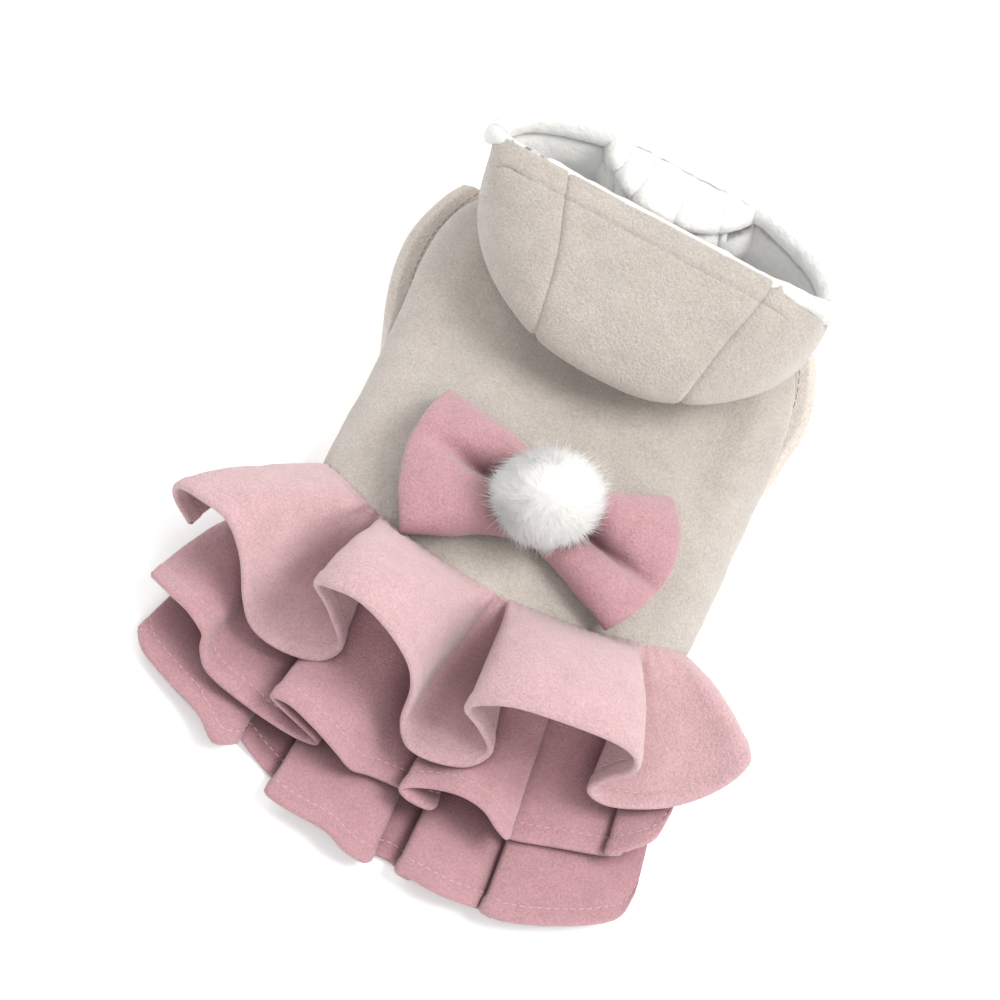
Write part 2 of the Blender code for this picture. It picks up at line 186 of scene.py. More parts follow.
# Hood loops from the neck seam to the rim: half width, centre, y at the sides, the back and the throat,
# z at the sides, the back and the throat, squareness, slant
HOOD = (
    (0.0600, -0.0050, 0.1210, 0.1205, 0.1210, 0.0250, 0.0420, 0.0024, 2.0, 0.003),
    (0.0650, -0.0050, 0.1225, 0.1120, 0.1290, 0.0345, 0.0485, 0.0110, 2.0, 0.001),
    (0.0675, -0.0040, 0.1190, 0.0800, 0.1335, 0.0465, 0.0520, 0.0260, 2.0, 0.0),
    (0.0660, -0.0025, 0.1060, 0.0510, 0.1335, 0.0580, 0.0600, 0.0420, 2.0, 0.0),
    (0.0665, -0.0025, 0.1030, 0.0570, 0.1335, 0.0680, 0.0730, 0.0540, 2.2, 0.0),
    (0.0665, -0.0030, 0.1020, 0.0740, 0.1320, 0.0770, 0.0840, 0.0650, 2.6, 0.0),
    (0.0665, -0.0040, 0.1030, 0.0880, 0.1330, 0.0840, 0.0915, 0.0730, 3.2, 0.0),
    (0.0680, -0.0050, 0.1040, 0.0980, 0.1345, 0.0885, 0.0950, 0.0800, 3.5, 0.0),
)
THROAT_SQUARE = 2.1
LEFT_SEAM = -0.46
RIGHT_SEAM = 0.58
SEAM_DIP = 0.0021
# How far the wool's edge drops below the rim, as a share of the rows, where the fleece rolls over it
WOOL_EARLY = 0.10
WOOL_LOWERED = 0.085
WOOL_LOWERED_BUNCH = 0.05
# How far the lining's walls lie inside the wool, and how much more at the hood's two sides
WALL_INSET = 0.0023
WALL_BELOW_RIM = 0.0092
SIDE_INSET = 0.0038
# Where the fleece starts to roll out at the left and the right corner, and over how much of a turn
ROLL_STARTS = (-0.50, -0.74)
ROLL_REACH = 0.32
LINING_COLUMNS = 320
ROLL_ROWS = 30
# Edge of the lining, upwards and over: how far inside the rim and how high over it, at the throat and
# at the back
RIM_ROLL = (
    (0.0002, -0.0090, 0.0004, -0.0090),
    (0.0012, -0.0066, 0.0006, -0.0074),
    (0.0022, -0.0050, 0.0008, -0.0056),
    (0.0026, -0.0032, 0.0009, -0.0040),
    (0.0022, -0.0014, 0.0009, -0.0026),
    (0.0012, -0.0002, 0.0007, -0.0013),
    (-0.0002, 0.0003, 0.0003, -0.0005),
    (-0.0014, -0.0004, -0.0002, -0.0003),
    (-0.0021, -0.0018, -0.0007, -0.0006),
    (-0.0023, -0.0036, -0.0008, -0.0012),
    (-0.0023, -0.0056, -0.0008, -0.0020),
)
BUNCH_CENTRE = -0.02
BUNCH_HALF = 0.38
BUNCH_DEPTH = 0.0255
BUNCH_LIFT = 0.0105
# Folds of the bunch: place across it, width, depth. Each leans over from its foot to the rim
BUNCH_FOLDS = (
    (-0.80, 0.07, 0.0046),
    (-0.44, 0.075, 0.0060),
    (0.14, 0.08, 0.0064),
    (0.70, 0.07, 0.0040),
)
FOLD_LEAN = 0.10

# Hem of each tier from left to right, in thousandths of the back length: place along the waist seam (share),
# across, up the tilted view, height
TIER_1 = (
    (-1.00, -416, -176, 106),
    (-0.97, -450, -154, 128),
    (-0.92, -452, -136, 166),
    (-0.86, -412, -136, 194),
    (-0.80, -364, -144, 200),
    (-0.73, -324, -182, 170),
    (-0.69, -294, -234, 128),
    (-0.67, -264, -264, 104),
    (-0.655, -214, -272, 98),
    (-0.64, -162, -260, 104),
    (-0.63, -144, -228, 126),
    (-0.62, -178, -190, 174),
    (-0.60, -212, -164, 236),
    (-0.54, -192, -155, 276),
    (-0.40, -148, -152, 292),
    (-0.23, -96, -168, 282),
    (-0.08, -50, -196, 238),
    (0.00, -24, -232, 176),
    (0.03, -16, -280, 124),
    (0.045, 8, -307, 110),
    (0.06, 52, -308, 108),
    (0.075, 96, -292, 112),
    (0.085, 112, -260, 130),
    (0.095, 86, -236, 168),
    (0.115, 56, -220, 216),
    (0.17, 68, -202, 254),
    (0.30, 114, -180, 282),
    (0.45, 180, -168, 290),
    (0.60, 248, -160, 286),
    (0.69, 290, -165, 262),
    (0.73, 302, -186, 212),
    (0.75, 278, -216, 152),
    (0.765, 264, -244, 118),
    (0.78, 296, -250, 102),
    (0.80, 346, -230, 102),
    (0.84, 390, -200, 110),
    (0.89, 424, -160, 130),
    (0.93, 446, -114, 152),
    (0.97, 440, -94, 132),
    (1.00, 424, -86, 100),
)
TIER_2 = (
    (-1.00, -428, -268, 66),
    (-0.93, -392, -276, 92),
    (-0.86, -356, -284, 104),
    (-0.80, -322, -304, 94),
    (-0.76, -314, -328, 72),
    (-0.73, -292, -350, 58),
    (-0.69, -232, -364, 53),
    (-0.64, -150, -372, 52),
    (-0.59, -108, -366, 57),
    (-0.55, -144, -352, 70),
    (-0.51, -192, -337, 92),
    (-0.44, -166, -332, 108),
    (-0.30, -120, -344, 106),
    (-0.17, -76, -362, 88),
    (-0.10, -48, -374, 68),
    (-0.05, -20, -370, 56),
    (0.00, 36, -365, 52),
    (0.04, 80, -362, 54),
    (0.08, 76, -373, 61),
    (0.11, 44, -374, 72),
    (0.14, 28, -364, 84),
    (0.20, 58, -346, 92),
    (0.27, 104, -332, 114),
    (0.34, 142, -334, 114),
    (0.40, 172, -350, 100),
    (0.45, 190, -358, 84),
    (0.49, 176, -352, 60),
    (0.53, 200, -356, 52),
    (0.62, 264, -336, 52),
    (0.72, 322, -318, 52),
    (0.78, 346, -306, 56),
    (0.82, 330, -312, 70),
    (0.87, 356, -290, 84),
    (0.93, 382, -256, 88),
    (1.00, 380, -206, 76),
)
TIER_3 = (
    (-1.00, -410, -346, 22),
    (-0.90, -388, -368, 24),
    (-0.80, -330, -390, 28),
    (-0.72, -276, -408, 36),
    (-0.67, -240, -432, 40),
    (-0.63, -216, -424, 32),
    (-0.60, -212, -412, 16),
    (-0.56, -184, -424, 7),
    (-0.50, -146, -438, 6),
    (-0.46, -112, -446, 8),
    (-0.43, -118, -452, 22),
    (-0.40, -138, -460, 36),
    (-0.34, -108, -464, 42),
    (-0.20, -42, -466, 44),
    (-0.10, -4, -478, 42),
    (-0.05, 32, -480, 32),
    (-0.02, 34, -468, 14),
    (0.03, 60, -466, 6),
    (0.08, 94, -474, 7),
    (0.11, 96, -474, 20),
    (0.13, 78, -472, 34),
    (0.18, 104, -470, 44),
    (0.26, 146, -470, 44),
    (0.34, 186, -466, 36),
    (0.39, 208, -464, 22),
    (0.43, 228, -466, 18),
    (0.46, 222, -466, 28),
    (0.49, 210, -464, 40),
    (0.56, 240, -462, 44),
    (0.67, 296, -440, 42),
    (0.80, 352, -412, 36),
    (0.92, 388, -384, 26),
    (1.00, 394, -350, 22),
)


class DressSizes(bpy.types.PropertyGroup):
    """Sizes a maker would change."""

    stitch_length: bpy.props.FloatProperty(
        name="Stitch length", description="Length of one topstitch", default=0.0023, unit="LENGTH"
    )
    stitch_pitch: bpy.props.FloatProperty(
        name="Stitch pitch", description="From one stitch to the next", default=0.0031, unit="LENGTH"
    )
    thread: bpy.props.FloatProperty(
        name="Thread", description="Thread thickness", default=0.00042, unit="LENGTH"
    )
    fur_strands: bpy.props.IntProperty(name="Fur strands", description="Strands on the pompom", default=18000)
    fur_length: bpy.props.FloatProperty(
        name="Fur length", description="Length of the pompom's fur", default=0.0088, unit="LENGTH"
    )


class DressColours(bpy.types.PropertyGroup):
    """Colours a maker would change."""

    beige: bpy.props.FloatVectorProperty(
        name="Beige wool", description="Bodice and hood", subtype="COLOR", default=(0.655, 0.60, 0.545)
    )
    pink: bpy.props.FloatVectorProperty(
        name="Pink wool", description="Ruffles and bow", subtype="COLOR", default=(0.80, 0.525, 0.55)
    )
    fleece: bpy.props.FloatVectorProperty(
        name="Fleece", description="Lining of the hood", subtype="COLOR", default=(0.76, 0.76, 0.745)
    )
    fur: bpy.props.FloatVectorProperty(
        name="Fur", description="The pompom", subtype="COLOR", default=(0.84, 0.84, 0.825)
    )
    floor: bpy.props.FloatVectorProperty(
        name="Floor", description="Pale floor and backdrop", subtype="COLOR", default=(0.95, 0.95, 0.95)
    )


def settings():
    """The dress's own properties."""
    scene = bpy.context.scene
    return scene.dog_dress_sizes, scene.dog_dress_colours


def spline(rows, t):
    """The row at place t (0 to 1) of a table, on a smooth curve through its rows."""
    last = len(rows) - 1
    at = min(max(t, 0.0), 1.0) * last
    i = min(int(at), last - 1)
    f = at - i
    a, b = rows[max(i - 1, 0)], rows[i]
    c, d = rows[i + 1], rows[min(i + 2, last)]
    h = f * f * (3 - 2 * f)
    start = f * (1 - f) * (1 - f) / 2
    end = f * f * (1 - f) / 2
    return [q + (r - q) * h + (r - p) * start - (s - q) * end for p, q, r, s in zip(a, b, c, d)]


def at_first(rows, value):
    """The row of a table where its first column has the value."""
    value = min(max(value, rows[0][0]), rows[-1][0])
    low, high = 0.0, 1.0
    for _ in range(24):
        middle = (low + high) / 2
        if spline(rows, middle)[0] < value:
            low = middle
        else:
            high = middle
    return spline(rows, (low + high) / 2)


def at_length(y):
    """The bodice section at the length y."""
    return at_first(BODICE, y)


def power(value, squareness):
    """A sine or cosine, squared off as a superellipse."""
    return math.copysign(abs(value) ** (2 / squareness), value)


def bump(at, start, end):
    """A smooth rise and fall between start and end."""
    share = (at - start) / (end - start)
    return math.sin(math.pi * share) ** 0.7 if 0 < share < 1 else 0.0


def ease(value, low, high):
    """0 below low, 1 above high, smooth between."""
    share = min(max((value - low) / (high - low), 0.0), 1.0)
    return share * share * (3 - 2 * share)


def groove(distance, width):
    """A soft dip round a line: 1 on it, 0 past the width."""
    return math.exp(-((distance / width) ** 2) * 2.5)


def drift(point, size, seed):
    """Slow, seeded unevenness between -1 and 1."""
    return noise.noise(point / size + Vector((seed, 7.1 * seed, -3.3 * seed)))


def waist_y(share):
    """The waist seam's y: furthest down at the middle of the back."""
    return WAIST_MIDDLE + (WAIST_SIDE - WAIST_MIDDLE) * abs(share) ** 2.2


def hollow(x, y):
    """Depth of the soft hollows at a point of the back."""
    depth = 0.0
    for hx, hy, rx, ry, deep, turn in HOLLOWS:
        c, s = math.cos(math.radians(turn)), math.sin(math.radians(turn))
        dx, dy = x - hx, y - hy
        depth += deep * math.exp(-(((dx * c + dy * s) / rx) ** 2) - ((dy * c - dx * s) / ry) ** 2)
    return depth


def armhole(y, side):
    """How open the armhole is at the length y."""
    start, end = LEFT_ARMHOLE if side < 0 else RIGHT_ARMHOLE
    return bump(y, start, end)


def strap(y, side):
    """How far the strap reaches out at the length y."""
    return max(at_first(LEFT_STRAP if side < 0 else RIGHT_STRAP, y)[1], 0.0)


def back_point(t, y):
    """A point of the back's outer face: t runs from the left edge (-1) to the right edge (1)."""
    _, centre, half, top, seam = at_length(y)
    angle = t * math.pi / 2
    opened = armhole(y, t)
    edge = seam + SIDE_GAP / 2 + BACK_LIFT * opened * min(abs(t) * 3, 1.0)
    x = centre + half * power(math.sin(angle), 2.3)
    z = edge + (top - edge) * power(math.cos(angle), 2.3)
    return Vector((x, y, z - hollow(x, y)))


def belly_point(t, y):
    """A point of the belly's outer face, flat on the floor but for its rising sides."""
    _, centre, half, _, seam = at_length(y)
    angle = t * math.pi / 2
    opened = armhole(y, t)
    wide = half + strap(y, t) * abs(t)
    rise = seam - SIDE_GAP / 2 - STRAP_DROP * opened
    x = centre + wide * power(math.sin(angle), 4.5)
    z = rise * (1 - power(math.cos(angle), 4.5))
    return Vector((x, y, z))


def hood_point(row, angle):
    """A point of the hood: the angle is 0 at the back, a quarter turn at the right, a half at the throat."""
    half, centre, y_side, y_back, y_throat, z_side, z_back, z_throat, square, slant = row
    if math.cos(angle) < 0:
        square = THROAT_SQUARE
    across = power(math.sin(angle), square)
    along = power(abs(math.cos(angle)), square)
    y_end, z_end = (y_back, z_back) if math.cos(angle) > 0 else (y_throat, z_throat)
    x = centre + half * across
    y = y_side + (y_end - y_side) * along + slant * across
    z = z_side + (z_end - z_side) * along
    return Vector((x, y, z))


def turned_out(angle, early=0.0):
    """How far the fleece rolls out over the rim: all the way at the throat and from the hood's corners on."""
    start = ROLL_STARTS[math.sin(angle) > 0] - early
    return ease(-math.cos(angle), start, start + ROLL_REACH)


def gathered(angle):
    """How strongly the throat is gathered at an angle: 1 in the middle of the bunch, 0 outside it."""
    if math.cos(angle) > 0:
        return 0.0
    share = abs(math.sin(angle) - BUNCH_CENTRE) / (BUNCH_HALF * 1.1)
    return math.cos(min(share, 1.0) * math.pi / 2) ** 0.7


def uneven_turns(count):
    """Angles once round the hood, four times as close together where the throat is gathered."""
    fine = 3600
    sums = [0.0]
    for k in range(fine):
        sums.append(sums[-1] + 1 + 3 * (gathered(2 * math.pi * (k + 0.5) / fine) > 0))
    angles = []
    k = 0
    for j in range(count):
        want = sums[-1] * (j + 0.5) / count
        while sums[k + 1] < want:
            k += 1
        angles.append(2 * math.pi * (k + (want - sums[k]) / (sums[k + 1] - sums[k])) / fine)
    return angles


def seam_angle(share):
    """The hood angle where a seam crosses a row, from its share of the half width."""
    return math.asin(math.copysign(min(abs(share), 1.0) ** 1.3, share))


def hem_point(row):
    """A hem point, from where it is seen in the tilted view and its height."""
    _, across, up, height = row
    x, z = across * PER_MILLE, height * PER_MILLE
    y = (up * PER_MILLE - z * math.cos(VIEW_TILT)) / math.sin(VIEW_TILT)
    return Vector((x, y, z))


def root_point(share, step):
    """A point of the waist seam, on the arch that lies step under the back panel's edge."""
    y = waist_y(share)
    _, centre, half, top, seam = at_length(y)
    half, top, seam = half - step, top - step, seam - step
    across = min(max(share, -1.0), 1.0)
    rise = (1 - abs(across) ** 2.3) ** (1 / 2.3) if abs(across) < 1 else 0.0
    return Vector((centre + half * across, y - SEAM_GAP, seam - WOOL / 2 + (top - seam) * rise))


def tier_point(row, v, tier):
    """A point of a tier: v runs from the waist seam (0) to the hem (1)."""
    root = root_point(row[0], TIER_STEP[tier])
    hem = hem_point(row)
    run = hem - root
    run.z -= TIER_FLARE[tier] * max(hem.z - TIER_BASE[tier], 0.0)
    low = VALLEY_FALL[tier] * (1 - ease(row[3], TIER_VALLEY[tier], TIER_CREST[tier]))
    first = root + Vector((run.x * 0.36, run.y * (0.28 - 0.4 * low), run.z * (TIER_FALL[tier] + low)))
    second = root + Vector((run.x * 0.86, run.y * 0.68, run.z * 1.0))
    if run.z > 0:
        first.z += 0.10 * run.z
        second.z += 0.04 * run.z
    u = 1 - v
    return root * u**3 + first * (3 * u * u * v) + second * (3 * u * v * v) + hem * v**3


def even_steps(points, count):
    """Places (0 to 1) that cut a line of points into even lengths."""
    lengths = [0.0]
    for a, b in zip(points, points[1:]):
        lengths.append(lengths[-1] + (b - a).length)
    places = []
    i = 0
    for k in range(count):
        want = lengths[-1] * k / (count - 1)
        while i < len(lengths) - 2 and lengths[i + 1] < want:
            i += 1
        span = lengths[i + 1] - lengths[i]
        places.append((i + (want - lengths[i]) / span) / (len(points) - 1))
    return places


def line_lengths(line):
    """Length along a line of points at each of them."""
    result = [0.0]
    for a, b in zip(line, line[1:]):
        result.append(result[-1] + (b - a).length)
    return result


def hem_row(lengths, width):
    """The last row of a column, from its lengths, that lies a hem's width or more from the end."""
    return max(k for k, length in enumerate(lengths) if lengths[-1] - length >= width)


def normals_of(grid, around=False):
    """A unit normal at each point of a grid."""
    rows, columns = len(grid), len(grid[0])
    result = []
    for i in range(rows):
        line = []
        for j in range(columns):
            up = grid[min(i + 1, rows - 1)][j] - grid[max(i - 1, 0)][j]
            if around:
                side = grid[i][(j + 1) % columns] - grid[i][(j - 1) % columns]
            else:
                side = grid[i][min(j + 1, columns - 1)] - grid[i][max(j - 1, 0)]
            line.append(up.cross(side).normalized())
        result.append(line)
    return result


def pushed(grid, amount, around=False):
    """The grid with each point moved along its normal by amount(i, j, point)."""
    ways = normals_of(grid, around)
    result = []
    for i, line in enumerate(grid):
        result.append([point + ways[i][j] * amount(i, j, point) for j, point in enumerate(line)])
    return result


def only(piece):
    """Selects one piece and makes it active."""
    bpy.ops.object.select_all(action="DESELECT")
    piece.select_set(True)
    bpy.context.view_layer.objects.active = piece


def placed(name, work, material):
    """The scene's piece made from a finished bmesh."""
    mesh = bpy.data.meshes.new(name)
    work.to_mesh(mesh)
    work.free()
    mesh.materials.append(material)
    piece = bpy.data.objects.new(name, mesh)
    bpy.context.scene.collection.objects.link(piece)
    return piece


def smoothed(piece):
    """The piece, shaded smooth."""
    only(piece)
    bpy.ops.object.shade_smooth()
    return piece


def sheet_piece(name, grid, above, below, material, around=False, full=None):
    """A cloth piece round a grid of points: its faces lie above and below them along their normals, and its
    edges are rounded. full(i, j) gives each point's share of both distances."""
    rows, columns = len(grid), len(grid[0])
    ways = normals_of(grid, around)
    along = line_lengths([line[columns // 2] for line in grid])
    across = line_lengths(grid[rows // 2])
    work = bmesh.new()
    uv_layer = work.loops.layers.uv.new("UVMap")
    place = {}

    def made(i, j, high, out):
        up, down = above, -below
        if full:
            share = full(i, j)
            up, down = above * share, -below * share
        middle, half = (up + down) / 2, (up - down) / 2
        vert = work.verts.new(grid[i][j] + ways[i][j] * (middle + half * high) + out * abs(half) + SETTLED)
        place[vert] = (across[j], along[i])
        return vert

    def strip(one, two, closed):
        pairs = list(zip(one, two))
        if closed:
            pairs.append(pairs[0])
        for (a, b), (c, d) in zip(pairs, pairs[1:]):
            if len({a, b, c, d}) < 4:
                continue
            face = work.faces.new((a, b, d, c))
            for loop in face.loops:
                loop[uv_layer].uv = place[loop.vert]

    still = Vector()
    top = [[made(i, j, 1.0, still) for j in range(columns)] for i in range(rows)]
    under = [[made(i, j, -1.0, still) for j in range(columns)] for i in range(rows)]
    for i in range(rows - 1):
        strip(top[i], top[i + 1], around)
        strip(under[i + 1], under[i], around)
    edges = [((rows - 1, j), (rows - 2, j)) for j in range(columns)]
    if around:
        rims = [edges, [((0, j), (1, j)) for j in range(columns - 1, -1, -1)]]
    else:
        edges += [((i, columns - 1), (i, columns - 2)) for i in range(rows - 1, -1, -1)]
        edges += [((0, j), (1, j)) for j in range(columns - 1, -1, -1)]
        edges += [((i, 0), (i, 1)) for i in range(rows)]
        rims = [edges]
    for rim in rims:
        bands = [[top[i][j] for (i, j), _ in rim]]
        for high, reach in ((0.62, 0.62), (0.0, 0.9), (-0.62, 0.62)):
            band = []
            for (i, j), (k, m) in rim:
                out = grid[i][j] - grid[k][m]
                band.append(made(i, j, high, out.normalized() * reach if out.length else still))
            bands.append(band)
        bands.append([under[i][j] for (i, j), _ in rim])
        for one, two in zip(bands, bands[1:]):
            strip(one, two, True)
    bmesh.ops.remove_doubles(work, verts=work.verts, dist=0.000001)
    return smoothed(placed(name, work, material))


def stitch_line(work, line, ways, lift):
    """Adds topstitches to a mesh, one after the other along a line of surface points."""
    sizes, _ = settings()
    lengths = line_lengths(line)
    count = max(int(lengths[-1] / sizes.stitch_pitch), 1)
    radius = sizes.thread / 2
    i = 0
    for k in range(count):
        ends = []
        for want in (k * sizes.stitch_pitch, k * sizes.stitch_pitch + sizes.stitch_length):
            want = min(want, lengths[-1])
            while i < len(lengths) - 2 and lengths[i + 1] < want:
                i += 1
            f = (want - lengths[i]) / max(lengths[i + 1] - lengths[i], 1e-9)
            ends.append((line[i].lerp(line[i + 1], f), ways[i].lerp(ways[i + 1], f)))
        (a, up_a), (b, up_b) = ends
        way = b - a
        if way.length < sizes.stitch_length * 0.4:
            continue
        side = way.cross(up_a).normalized() * radius
        rings = []
        for share, size, high in STITCH_RINGS:
            up = up_a.lerp(up_b, share).normalized()
            middle = a.lerp(b, share) + up * (lift + radius * high)
            ring = []
            for turn in range(6):
                angle = math.pi * turn / 3
                spot = middle + side * (math.cos(angle) * size)
                ring.append(work.verts.new(spot + up * (radius * math.sin(angle) * size)))
            rings.append(ring)
        for one, two in zip(rings, rings[1:]):
            for turn in range(6):
                other = (turn + 1) % 6
                work.faces.new((one[turn], one[other], two[other], two[turn]))
        work.faces.new(list(reversed(rings[0])))
        work.faces.new(rings[-1])


def stitch_piece(name, lines, material):
    """A piece of topstitching: lines holds (points, normals, lift)."""
    work = bmesh.new()
    for line, ways, lift in lines:
        stitch_line(work, [point + SETTLED for point in line], ways, lift)
    bmesh.ops.recalc_face_normals(work, faces=work.faces)
    return smoothed(placed(name, work, material))


def joined(tree, kind, place, **values):
    """A node of a material, at a place, with its values set."""
    node = tree.nodes.new(kind)
    node.location = place
    for key, value in values.items():
        if key in node.inputs:
            node.inputs[key].default_value = value
        else:
            setattr(node, key, value)
    return node


def pile_group():
    """Node group: colour, roughness and height of a felted or fleecy cloth."""
    name = "cloth pile"
    if name in bpy.data.node_groups:
        return bpy.data.node_groups[name]
    group = bpy.data.node_groups.new(name, "ShaderNodeTree")
    face = group.interface
    for label, kind, default in (
        ("Colour", "NodeSocketColor", (0.6, 0.55, 0.5, 1.0)),
        ("Shade", "NodeSocketColor", (0.4, 0.35, 0.3, 1.0)),
        ("Pile size", "NodeSocketFloat", 0.0011),
        ("Mottle size", "NodeSocketFloat", 0.012),
        ("Mottle", "NodeSocketFloat", 0.25),
        ("Fleck", "NodeSocketFloat", 0.35),
    ):
        socket = face.new_socket(label, in_out="INPUT", socket_type=kind)
        socket.default_value = default
    for label, kind in (("Colour", "Color"), ("Roughness", "Float"), ("Height", "Float")):
        face.new_socket(label, in_out="OUTPUT", socket_type="NodeSocket" + kind)
    link = group.links.new
    start = joined(group, "NodeGroupInput", (-1100, 0))
    end = joined(group, "NodeGroupOutput", (700, 0))
    place = joined(group, "ShaderNodeTexCoord", (-1100, -300))
    scales = []
    for label, down in (("Pile size", 0), ("Mottle size", -200)):
        scale = joined(group, "ShaderNodeMath", (-900, down), operation="DIVIDE")
        scale.inputs[0].default_value = 1.0
        link(start.outputs[label], scale.inputs[1])
        scales.append(scale)
    pile_scale, mottle_scale = scales
    pile = joined(group, "ShaderNodeTexNoise", (-700, 100), Detail=5.0, Roughness=0.65)
    tuft = joined(group, "ShaderNodeTexVoronoi", (-700, -150), feature="F1")
    mottle = joined(group, "ShaderNodeTexNoise", (-700, -400), Detail=3.0, Roughness=0.55)
    for node, scale in ((pile, pile_scale), (tuft, pile_scale), (mottle, mottle_scale)):
        link(place.outputs["Object"], node.inputs["Vector"])
        link(scale.outputs[0], node.inputs["Scale"])
    sharp = joined(group, "ShaderNodeMapRange", (-560, 150))
    sharp.inputs["From Min"].default_value = 0.36
    sharp.inputs["From Max"].default_value = 0.66
    link(pile.outputs["Fac"], sharp.inputs["Value"])
    flecks = joined(group, "ShaderNodeMath", (-450, 50), operation="MULTIPLY")
    link(sharp.outputs["Result"], flecks.inputs[0])
    link(start.outputs["Fleck"], flecks.inputs[1])
    blotch = joined(group, "ShaderNodeMath", (-450, -250), operation="MULTIPLY")
    link(mottle.outputs["Fac"], blotch.inputs[0])
    link(start.outputs["Mottle"], blotch.inputs[1])
    both = joined(group, "ShaderNodeMath", (-250, -50), operation="ADD", use_clamp=True)
    link(flecks.outputs[0], both.inputs[0])
    link(blotch.outputs[0], both.inputs[1])
    mix = joined(group, "ShaderNodeMix", (0, 100), data_type="RGBA")
    link(both.outputs[0], mix.inputs["Factor"])
    link(start.outputs["Colour"], mix.inputs[6])
    link(start.outputs["Shade"], mix.inputs[7])
    link(mix.outputs[2], end.inputs["Colour"])
    rough = joined(group, "ShaderNodeMapRange", (0, -150))
    rough.inputs["To Min"].default_value = 0.84
    rough.inputs["To Max"].default_value = 1.0
    link(pile.outputs["Fac"], rough.inputs["Value"])
    link(rough.outputs["Result"], end.inputs["Roughness"])
    high = joined(group, "ShaderNodeMath", (0, -400), operation="SUBTRACT")
    link(pile.outputs["Fac"], high.inputs[0])
    small = joined(group, "ShaderNodeMath", (-200, -450), operation="MULTIPLY")
    small.inputs[1].default_value = 0.35
    link(tuft.outputs["Distance"], small.inputs[0])
    link(small.outputs[0], high.inputs[1])
    link(high.outputs[0], end.inputs["Height"])
    return group


def fresh_material(name):
    """A new material, its node tree and its main shader."""
    material = bpy.data.materials.new(name)
    material.use_nodes = True
    tree = material.node_tree
    return material, tree, tree.nodes["Principled BSDF"]


def glowing(shader, colour, strength):
    """Lets a pale surface glow a little by emission: painted light on the fleece and the fur, and an evenly
    bright floor.
    """
    shader.inputs["Emission Color"].default_value = (*colour, 1.0)
    shader.inputs["Emission Strength"].default_value = strength


def cloth_material(
    name, colour, shade, depth=0.6, reach=0.012, pile=0.0009, mottle=0.55, fleck=0.64, bump=0.0009
):
    """A procedural cloth material of pile, flecks and slow mottling, with painted shade where it is hidden:
    depth is the share of the colour's square in the painted shade of its folds, and reach how close the other
    side has to be."""
    material, tree, shader = fresh_material(name)
    group = joined(tree, "ShaderNodeGroup", (-500, 0))
    group.node_tree = pile_group()
    group.inputs["Colour"].default_value = (*colour, 1.0)
    group.inputs["Shade"].default_value = (*shade, 1.0)
    group.inputs["Pile size"].default_value = pile
    group.inputs["Mottle size"].default_value = 0.009
    group.inputs["Mottle"].default_value = mottle
    group.inputs["Fleck"].default_value = fleck
    relief = joined(tree, "ShaderNodeBump", (-250, -250), Strength=0.75, Distance=bump)
    tree.links.new(group.outputs["Height"], relief.inputs["Height"])
    # Painted shade: ambient occlusion darkens and deepens the colour in folds, recesses and under other parts
    hidden = joined(tree, "ShaderNodeAmbientOcclusion", (-300, 300), samples=8, Distance=reach)
    unshaded_share = joined(tree, "ShaderNodeMapRange", (-100, 350))
    unshaded_share.inputs["From Min"].default_value = 0.15
    unshaded_share.inputs["From Max"].default_value = 0.80
    deep = joined(tree, "ShaderNodeMix", (80, 200), data_type="RGBA")
    deep.inputs[6].default_value = (*(value * value * depth for value in colour), 1.0)
    tree.links.new(hidden.outputs["AO"], unshaded_share.inputs["Value"])
    tree.links.new(unshaded_share.outputs["Result"], deep.inputs["Factor"])
    tree.links.new(group.outputs["Colour"], deep.inputs[7])
    tree.links.new(deep.outputs[2], shader.inputs["Base Color"])
    tree.links.new(group.outputs["Roughness"], shader.inputs["Roughness"])
    shader.location = (300, 0)
    tree.nodes["Material Output"].location = (650, 0)
    tree.links.new(relief.outputs["Normal"], shader.inputs["Normal"])
    shader.inputs["Sheen Weight"].default_value = 0.5
    shader.inputs["Sheen Roughness"].default_value = 0.55
    shader.inputs["Specular IOR Level"].default_value = 0.15
    return material


def shaded(colour, share):
    """The colour, darkened by a share, a little more in blue and green."""
    return (colour[0] * share, colour[1] * share * 0.97, colour[2] * share * 0.95)


def beige_wool():
    """The bodice's and hood's wool, made once."""
    known = bpy.data.materials.get("beige wool")
    if known:
        return known
    _, colours = settings()
    return cloth_material("beige wool", tuple(colours.beige), shaded(colours.beige, 0.66))


def painted_light_strap_wool():
    """The belly's wool, painted lighter than the back's so its armhole straps look lit."""
    _, colours = settings()
    light = tuple(min(value * STRAP_PAINTED_LIGHT, 1.0) for value in colours.beige)
    return cloth_material("strap wool", light, shaded(light, 0.7), depth=1.0)


def pink_wool(name, painted_shade):
    """The pink wool of one piece: the lower ruffles and the bow are darkened with painted shade."""
    _, colours = settings()
    colour = tuple(value * share for value, share in zip(colours.pink, painted_shade))
    return cloth_material(name, colour, shaded(colour, 0.66), depth=0.36, reach=0.026)


def white_fleece():
    """The lining's fleece, which glows a little: painted light."""
    _, colours = settings()
    white = tuple(colours.fleece)
    looks = {"pile": 0.0022, "mottle": 0.2, "fleck": 0.2, "bump": 0.0010}
    material = cloth_material("white fleece", white, shaded(white, 0.9), depth=0.9, reach=0.007, **looks)
    # Painted light: the fleece glows a little by emission
    glowing(material.node_tree.nodes["Principled BSDF"], white, 0.10)
    return material


